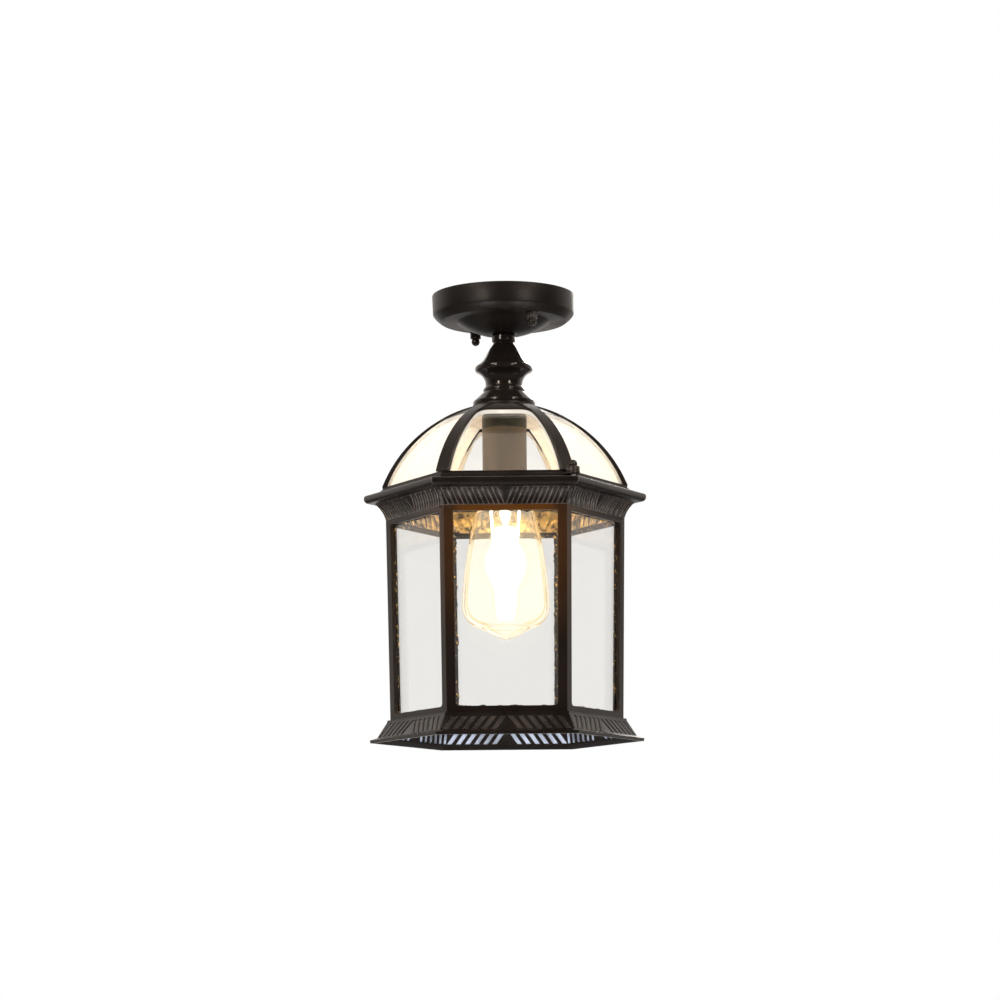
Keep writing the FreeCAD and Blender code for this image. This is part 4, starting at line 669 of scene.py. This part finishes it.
def spin(points, steps=96, width=0.0003):
    """A closed outline spun once round the Z axis, with its sharp edges eased."""
    mesh = bmesh.new()
    verts = [mesh.verts.new(spot) for spot in bowed(points)]
    edges = [mesh.edges.new((verts[index], verts[(index + 1) % len(verts)])) for index in range(len(verts))]
    bmesh.ops.spin(mesh, geom=verts + edges, cent=(0, 0, 0), axis=(0, 0, 1), angle=math.tau,
                   steps=steps, use_merge=True)
    bmesh.ops.remove_doubles(mesh, verts=mesh.verts, dist=1e-6)
    bmesh.ops.recalc_face_normals(mesh, faces=mesh.faces)
    if width:
        ease(mesh, width)
    return mesh


print("steps in a bowed edge:", BOW_STEPS)

# %% [markdown]
# The canopy is a pan of spun sheet metal, so its inner outline follows the outer one at a wall's distance.

# %% Canopy
STEM_HOLE = 5.1
CANOPY_WALL = 1.2
CANOPY_RADIUS, BAND_FOOT, RING, BOWL_FOOT = 56.0, -15.0, -21.0, -31.3
canopy = piece("canopy_pan", spin([
    (STEM_HOLE, BOWL_FOOT), (12.5, BOWL_FOOT), (36.9, RING, 1.35), (49.0, RING), (55.4, BAND_FOOT, 0.5),
    (CANOPY_RADIUS, 0.0), (CANOPY_RADIUS - CANOPY_WALL, 0.0), (54.2, -14.4), (48.4, RING + CANOPY_WALL),
    (36.3, RING + CANOPY_WALL), (12.5, BOWL_FOOT + CANOPY_WALL, -1.35), (STEM_HOLE, BOWL_FOOT + CANOPY_WALL),
], steps=160, width=0.0005), canopy_bronze, "lantern")
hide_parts("canopy")

# %% [markdown]
# The collar and the neck below it are solid turnings round the stem's hole: a bell, a disc, a hollow, a bead
# and a cone that sits on the dome.

# %% Collar and neck
COLLAR_FOOT, NECK_FOOT = -37.2, -87.8
collar = piece("neck_collar", spin([
    (STEM_HOLE, COLLAR_FOOT), (7.9, COLLAR_FOOT), (9.2, -35.9, 0.4), (9.2, -32.6), (7.9, BOWL_FOOT, 0.4),
    (STEM_HOLE, BOWL_FOOT),
]), spun_bronze, "lantern")
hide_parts("stem_collar")
neck = piece("neck_turning", spin([
    (STEM_HOLE, NECK_FOOT), (23.65, NECK_FOOT), (24.1, -84.6, 0.45), (15.75, -77.0), (16.2, -75.0, 0.3),
    (14.4, -72.4), (14.4, -70.0), (21.8, -60.7, -1.65), (20.9, -55.9, 1.3), (14.7, -49.5, -0.5),
    (10.9, -42.4), (8.1, -38.6), (8.1, COLLAR_FOOT), (STEM_HOLE, COLLAR_FOOT),
], steps=128, width=0.0004), spun_bronze, "lantern")
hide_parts("neck_column")

# %% [markdown]
# ## Castings
# The dome frame, cornice, cage and skirt are castings, and their shapes come straight from the drawing. A
# casting never has knife edges, so each is copied, its loose triangles are merged into flat faces, and every
# sharp edge gets a small bevel.


# %% Softened castings
CASTING_SHARP, NEARLY_FLAT = math.radians(28), math.radians(0.6)


def soft_casting(name, node, width, material):
    """A merged copy of a CAD node with eased edges, which stands for it."""
    mesh = bmesh.new()
    mesh.from_mesh(nodes[node].data)
    bmesh.ops.remove_doubles(mesh, verts=mesh.verts, dist=2e-6)
    bmesh.ops.dissolve_limit(mesh, angle_limit=NEARLY_FLAT, verts=mesh.verts, edges=mesh.edges,
                             delimit={"NORMAL"})
    made = piece(name, mesh, material, "lantern", smooth=35)
    bevel = made.modifiers.new("cast_edges", "BEVEL")
    bevel.width = width
    bevel.segments = EASED_SEGMENTS
    bevel.limit_method = "ANGLE"
    bevel.angle_limit = CASTING_SHARP
    bevel.harden_normals = False
    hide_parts(node)


soft_casting("dome_casting", "roof_frame", 0.0006, dome_bronze)
soft_casting("cornice_casting", "cornice", 0.0003, reeded_bronze)
soft_casting("cage_casting", "cage_frame", 0.0005, cage_bronze)
soft_casting("skirt_casting", "base_skirt", 0.0003, skirt_bronze)

# %% [markdown]
# ## Sealant round the panes
# Each flat pane is held by dark sealant laid by hand. Some of it has squeezed out over the inner side of the
# glass, and its ragged edge shows inside every window. Each edge is a loop round the window, a little behind
# the frame on one side and wandering over the glass on the other.

# %% The window's outline
CAGE_TOP, CAGE_HEIGHT = -177.6, 156.1
CAGE_TOP_RADIUS, CAGE_FOOT_RADIUS = 93.0, 89.95
POST_FACE = 7.0
WINDOW_TOP, WINDOW_FOOT = -182.0, -329.0
GLASS_BACK = 5.3
EDGE_STEP = 0.9


def cage_radius(height):
    """Corner radius of the cage at a height, in millimetres."""
    return CAGE_TOP_RADIUS + (height - CAGE_TOP) * (CAGE_TOP_RADIUS - CAGE_FOOT_RADIUS) / CAGE_HEIGHT


def window_point(across, height, inset):
    """A point on a pane's back, from its place across the window and a distance in from the window's edge."""
    half = cage_radius(height) / 2 - POST_FACE
    away = cage_radius(height) * math.cos(HALF_SIDE_ANGLE) - GLASS_BACK
    return Vector((across * (half - inset), -away, height))


def window_loop():
    """Pairs of place across and height, once round the window."""
    tall, wide = WINDOW_TOP - WINDOW_FOOT, cage_radius(WINDOW_FOOT) - 2 * POST_FACE
    rows, columns = int(tall / EDGE_STEP), int(wide / EDGE_STEP)
    up = [(-1, WINDOW_FOOT + tall * row / rows) for row in range(rows)]
    over = [(2 * column / columns - 1, WINDOW_TOP) for column in range(columns)]
    down = [(1, WINDOW_TOP - tall * row / rows) for row in range(rows)]
    back = [(1 - 2 * column / columns, WINDOW_FOOT) for column in range(columns)]
    return up + over + down + back


print("points round a window:", len(window_loop()))

# %% Ragged sealant edges
BROAD_WAVE, BROAD_REACH = 9.0, 0.9
FINE_WAVE, FINE_REACH = 2.2, 0.8
FOOT_BAND, FOOT_REACH = 12, 0.5
HIDDEN_EDGE, LEAST_REACH = -2.0, -1.0
SEALANT_THICKNESS = 0.0005


def ragged(spot):
    """How far the sealant wanders over the glass at a point, in millimetres. It is fuller at the foot."""
    broad = noise.noise(spot / BROAD_WAVE) * BROAD_REACH
    fine = noise.noise(spot / FINE_WAVE) * FINE_REACH
    at_foot = max(0.0, 1 - (spot.z - WINDOW_FOOT) / FOOT_BAND)
    return max(LEAST_REACH, broad + fine + at_foot * FOOT_REACH)


sealant = bmesh.new()
for face in range(6):
    turn = Matrix.Rotation(math.radians(60 * face), 3, "Z")
    loops = []
    for wandering in (False, True):
        verts = []
        for across, height in window_loop():
            inset = ragged(turn @ window_point(across, height, 0)) if wandering else HIDDEN_EDGE
            sunk = height + inset * ((height == WINDOW_FOOT) - (height == WINDOW_TOP))
            side = inset if abs(across) == 1 else 0
            verts.append(sealant.verts.new(turn @ window_point(across, sunk, side) * MM))
        loops += [sealant.edges.new((verts[index - 1], verts[index])) for index in range(len(verts))]
    bmesh.ops.bridge_loops(sealant, edges=loops)
bmesh.ops.recalc_face_normals(sealant, faces=sealant.faces)
bmesh.ops.solidify(sealant, geom=sealant.faces[:], thickness=SEALANT_THICKNESS)
piece("sealant_edges", sealant, finishes["sealant_bead"], "lantern", smooth=50)

# %% [markdown]
# ## The lit bulb
# The filaments are far brighter than anything else, and in the picture they run together into one white glow,
# wide at the top and narrow at the foot. A solid core round the filament rods stands for that glow, with two
# thin see-through sleeves round it that soften its edge. All three are the same spun outline at three sizes.

# %% Glow round the filaments
GLOW = [(0.0, -256.0), (7.5, -256.0), (8.6, -250.0), (9.4, -236.0, 0.2), (12.5, -228.5, -0.4),
        (16.8, -220.0), (18.0, -211.0, 0.6), (15.0, -201.5, 0.5), (10.5, -194.0), (9.0, -184.0),
        (0.0, -182.0)]
GLOW_MIDDLE, WIDEST_GLOW = -218, 22
SLEEVES = ((0.88, 1.0, 2.4), (1.04, 0.4, 1.3), (1.2, 0.2, 1.1))
for number, (size, cover, strength) in enumerate(SLEEVES, 1):
    taller = 0.9 + 0.1 * size
    outline = [(min(radius * size, WIDEST_GLOW), GLOW_MIDDLE + (height - GLOW_MIDDLE) * taller, *swell)
               for radius, height, *swell in GLOW]
    glow = glowing(f"glow_sleeve_{number}", (1.0, 0.9, 0.68), strength, cover)
    piece(f"filament_glow_{number}", spin(outline, steps=48, width=0), glow, "bulb", smooth=80)

# %% [markdown]
# Inside the bulb's outline the picture shows a second golden line, the glass's own inner reflection. A
# smaller copy of the bulb, quite see-through except where it turns away, draws that line from any side. It is
# shrunk towards a point in the bulb's neck, so that its tip rises a little more than its shoulders.

# %% Golden line inside the bulb's edge
SHRUNK_TOWARDS = Vector((0, 0, -0.150))
NARROWER, SHORTER = 0.92, 0.975
golden_edge, tree = new_material("golden_edge")
place = add_node(tree, "TexCoord").outputs
uneven = ramp(tree, cloudy(tree, place, 40.0), 0.3, 0.7, 0.5, 1.0)
turned_away = ramp(tree, add_node(tree, "LayerWeight", Blend=0.5).outputs["Facing"], 0.72, 0.93)
hue = blend_colour(tree, calculate(tree, "MULTIPLY", turned_away, uneven), (1, 1, 1), (1.0, 0.86, 0.52))
show(tree, add_node(tree, "BsdfTransparent", Color=hue).outputs[0])
inner = bmesh.new()
inner.from_mesh(nodes["bulb_glass"].data)
bmesh.ops.remove_doubles(inner, verts=inner.verts, dist=2e-6)
bmesh.ops.recalc_face_normals(inner, faces=inner.faces)
bmesh.ops.translate(inner, verts=inner.verts, vec=-SHRUNK_TOWARDS)
bmesh.ops.scale(inner, verts=inner.verts, vec=(NARROWER, NARROWER, SHORTER))
bmesh.ops.translate(inner, verts=inner.verts, vec=SHRUNK_TOWARDS)
piece("bulb_edge_1", inner, golden_edge, "bulb", smooth=60)

# %% [markdown]
# ## The pieces that keep their shape
# Nuts, screws, the socket, the leads and the panes are right as drawn, so they only need their finish. The
# dome's front and rear panes are seen square on and stay clean; the four to the sides carry the film of dust
# with its painted glow.

# %% Finishes for the drawn pieces
kept = {
    spun_bronze: ["canopy_nut_front", "canopy_nut_rear", "canopy_washer_front", "canopy_washer_rear",
                  "roof_nut_front", "roof_nut_rear", "roof_washer_front", "roof_washer_rear"],
    finishes["zinc"]: ["mounting_crossbar", "canopy_studs", "stud_lock_nuts", "stem_tube", "stem_washer",
                       "stem_top_nut", "stem_bottom_nut", "cornice_screws", "skirt_screws", "roof_studs"],
    finishes["brass"]: ["screw_shell", "centre_contact", "terminal_screws", "bulb_cap"],
    finishes["green_screw"]: ["ground_screw"],
    finishes["clear_sealant"]: ["dome_sealant"],
    finishes["sealant_bead"]: ["side_sealant"],
    finishes["socket_cup_paint"]: ["socket_cup"],
    finishes["sleeve_paint"]: ["socket_sleeve"],
    finishes["porcelain"]: ["socket_insulator"],
    finishes["black_glass"]: ["bulb_insulator"],
    finishes["solder"]: ["bulb_contact"],
    finishes["black_lead"]: ["line_lead"],
    finishes["white_lead"]: ["neutral_lead"],
    finishes["green_lead"]: ["ground_lead"],
    finishes["orange_cap"]: ["wire_connectors"],
    bulb_glass: ["bulb_stem", "bulb_glass"],
    filament_glow: ["bulb_filaments"],
    painted_wire_glow: ["bulb_lead_wires", "bulb_top_wires"],
    side_glass: [f"side_glass_{side}" for side in range(1, 7)],
    dome_glass: [],
    dirty_glowing_glass: [],
}
for side in range(1, 7):
    low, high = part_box(f"dome_glass_{side}")
    square_on = abs(low.x + high.x) / 2 < 0.01
    kept[dome_glass if square_on else dirty_glowing_glass].append(f"dome_glass_{side}")
for material, names in kept.items():
    for name in names:
        for slot in nodes[name].material_slots:
            slot.material = material
print("finished nodes:", sum(len(names) for names in kept.values()))
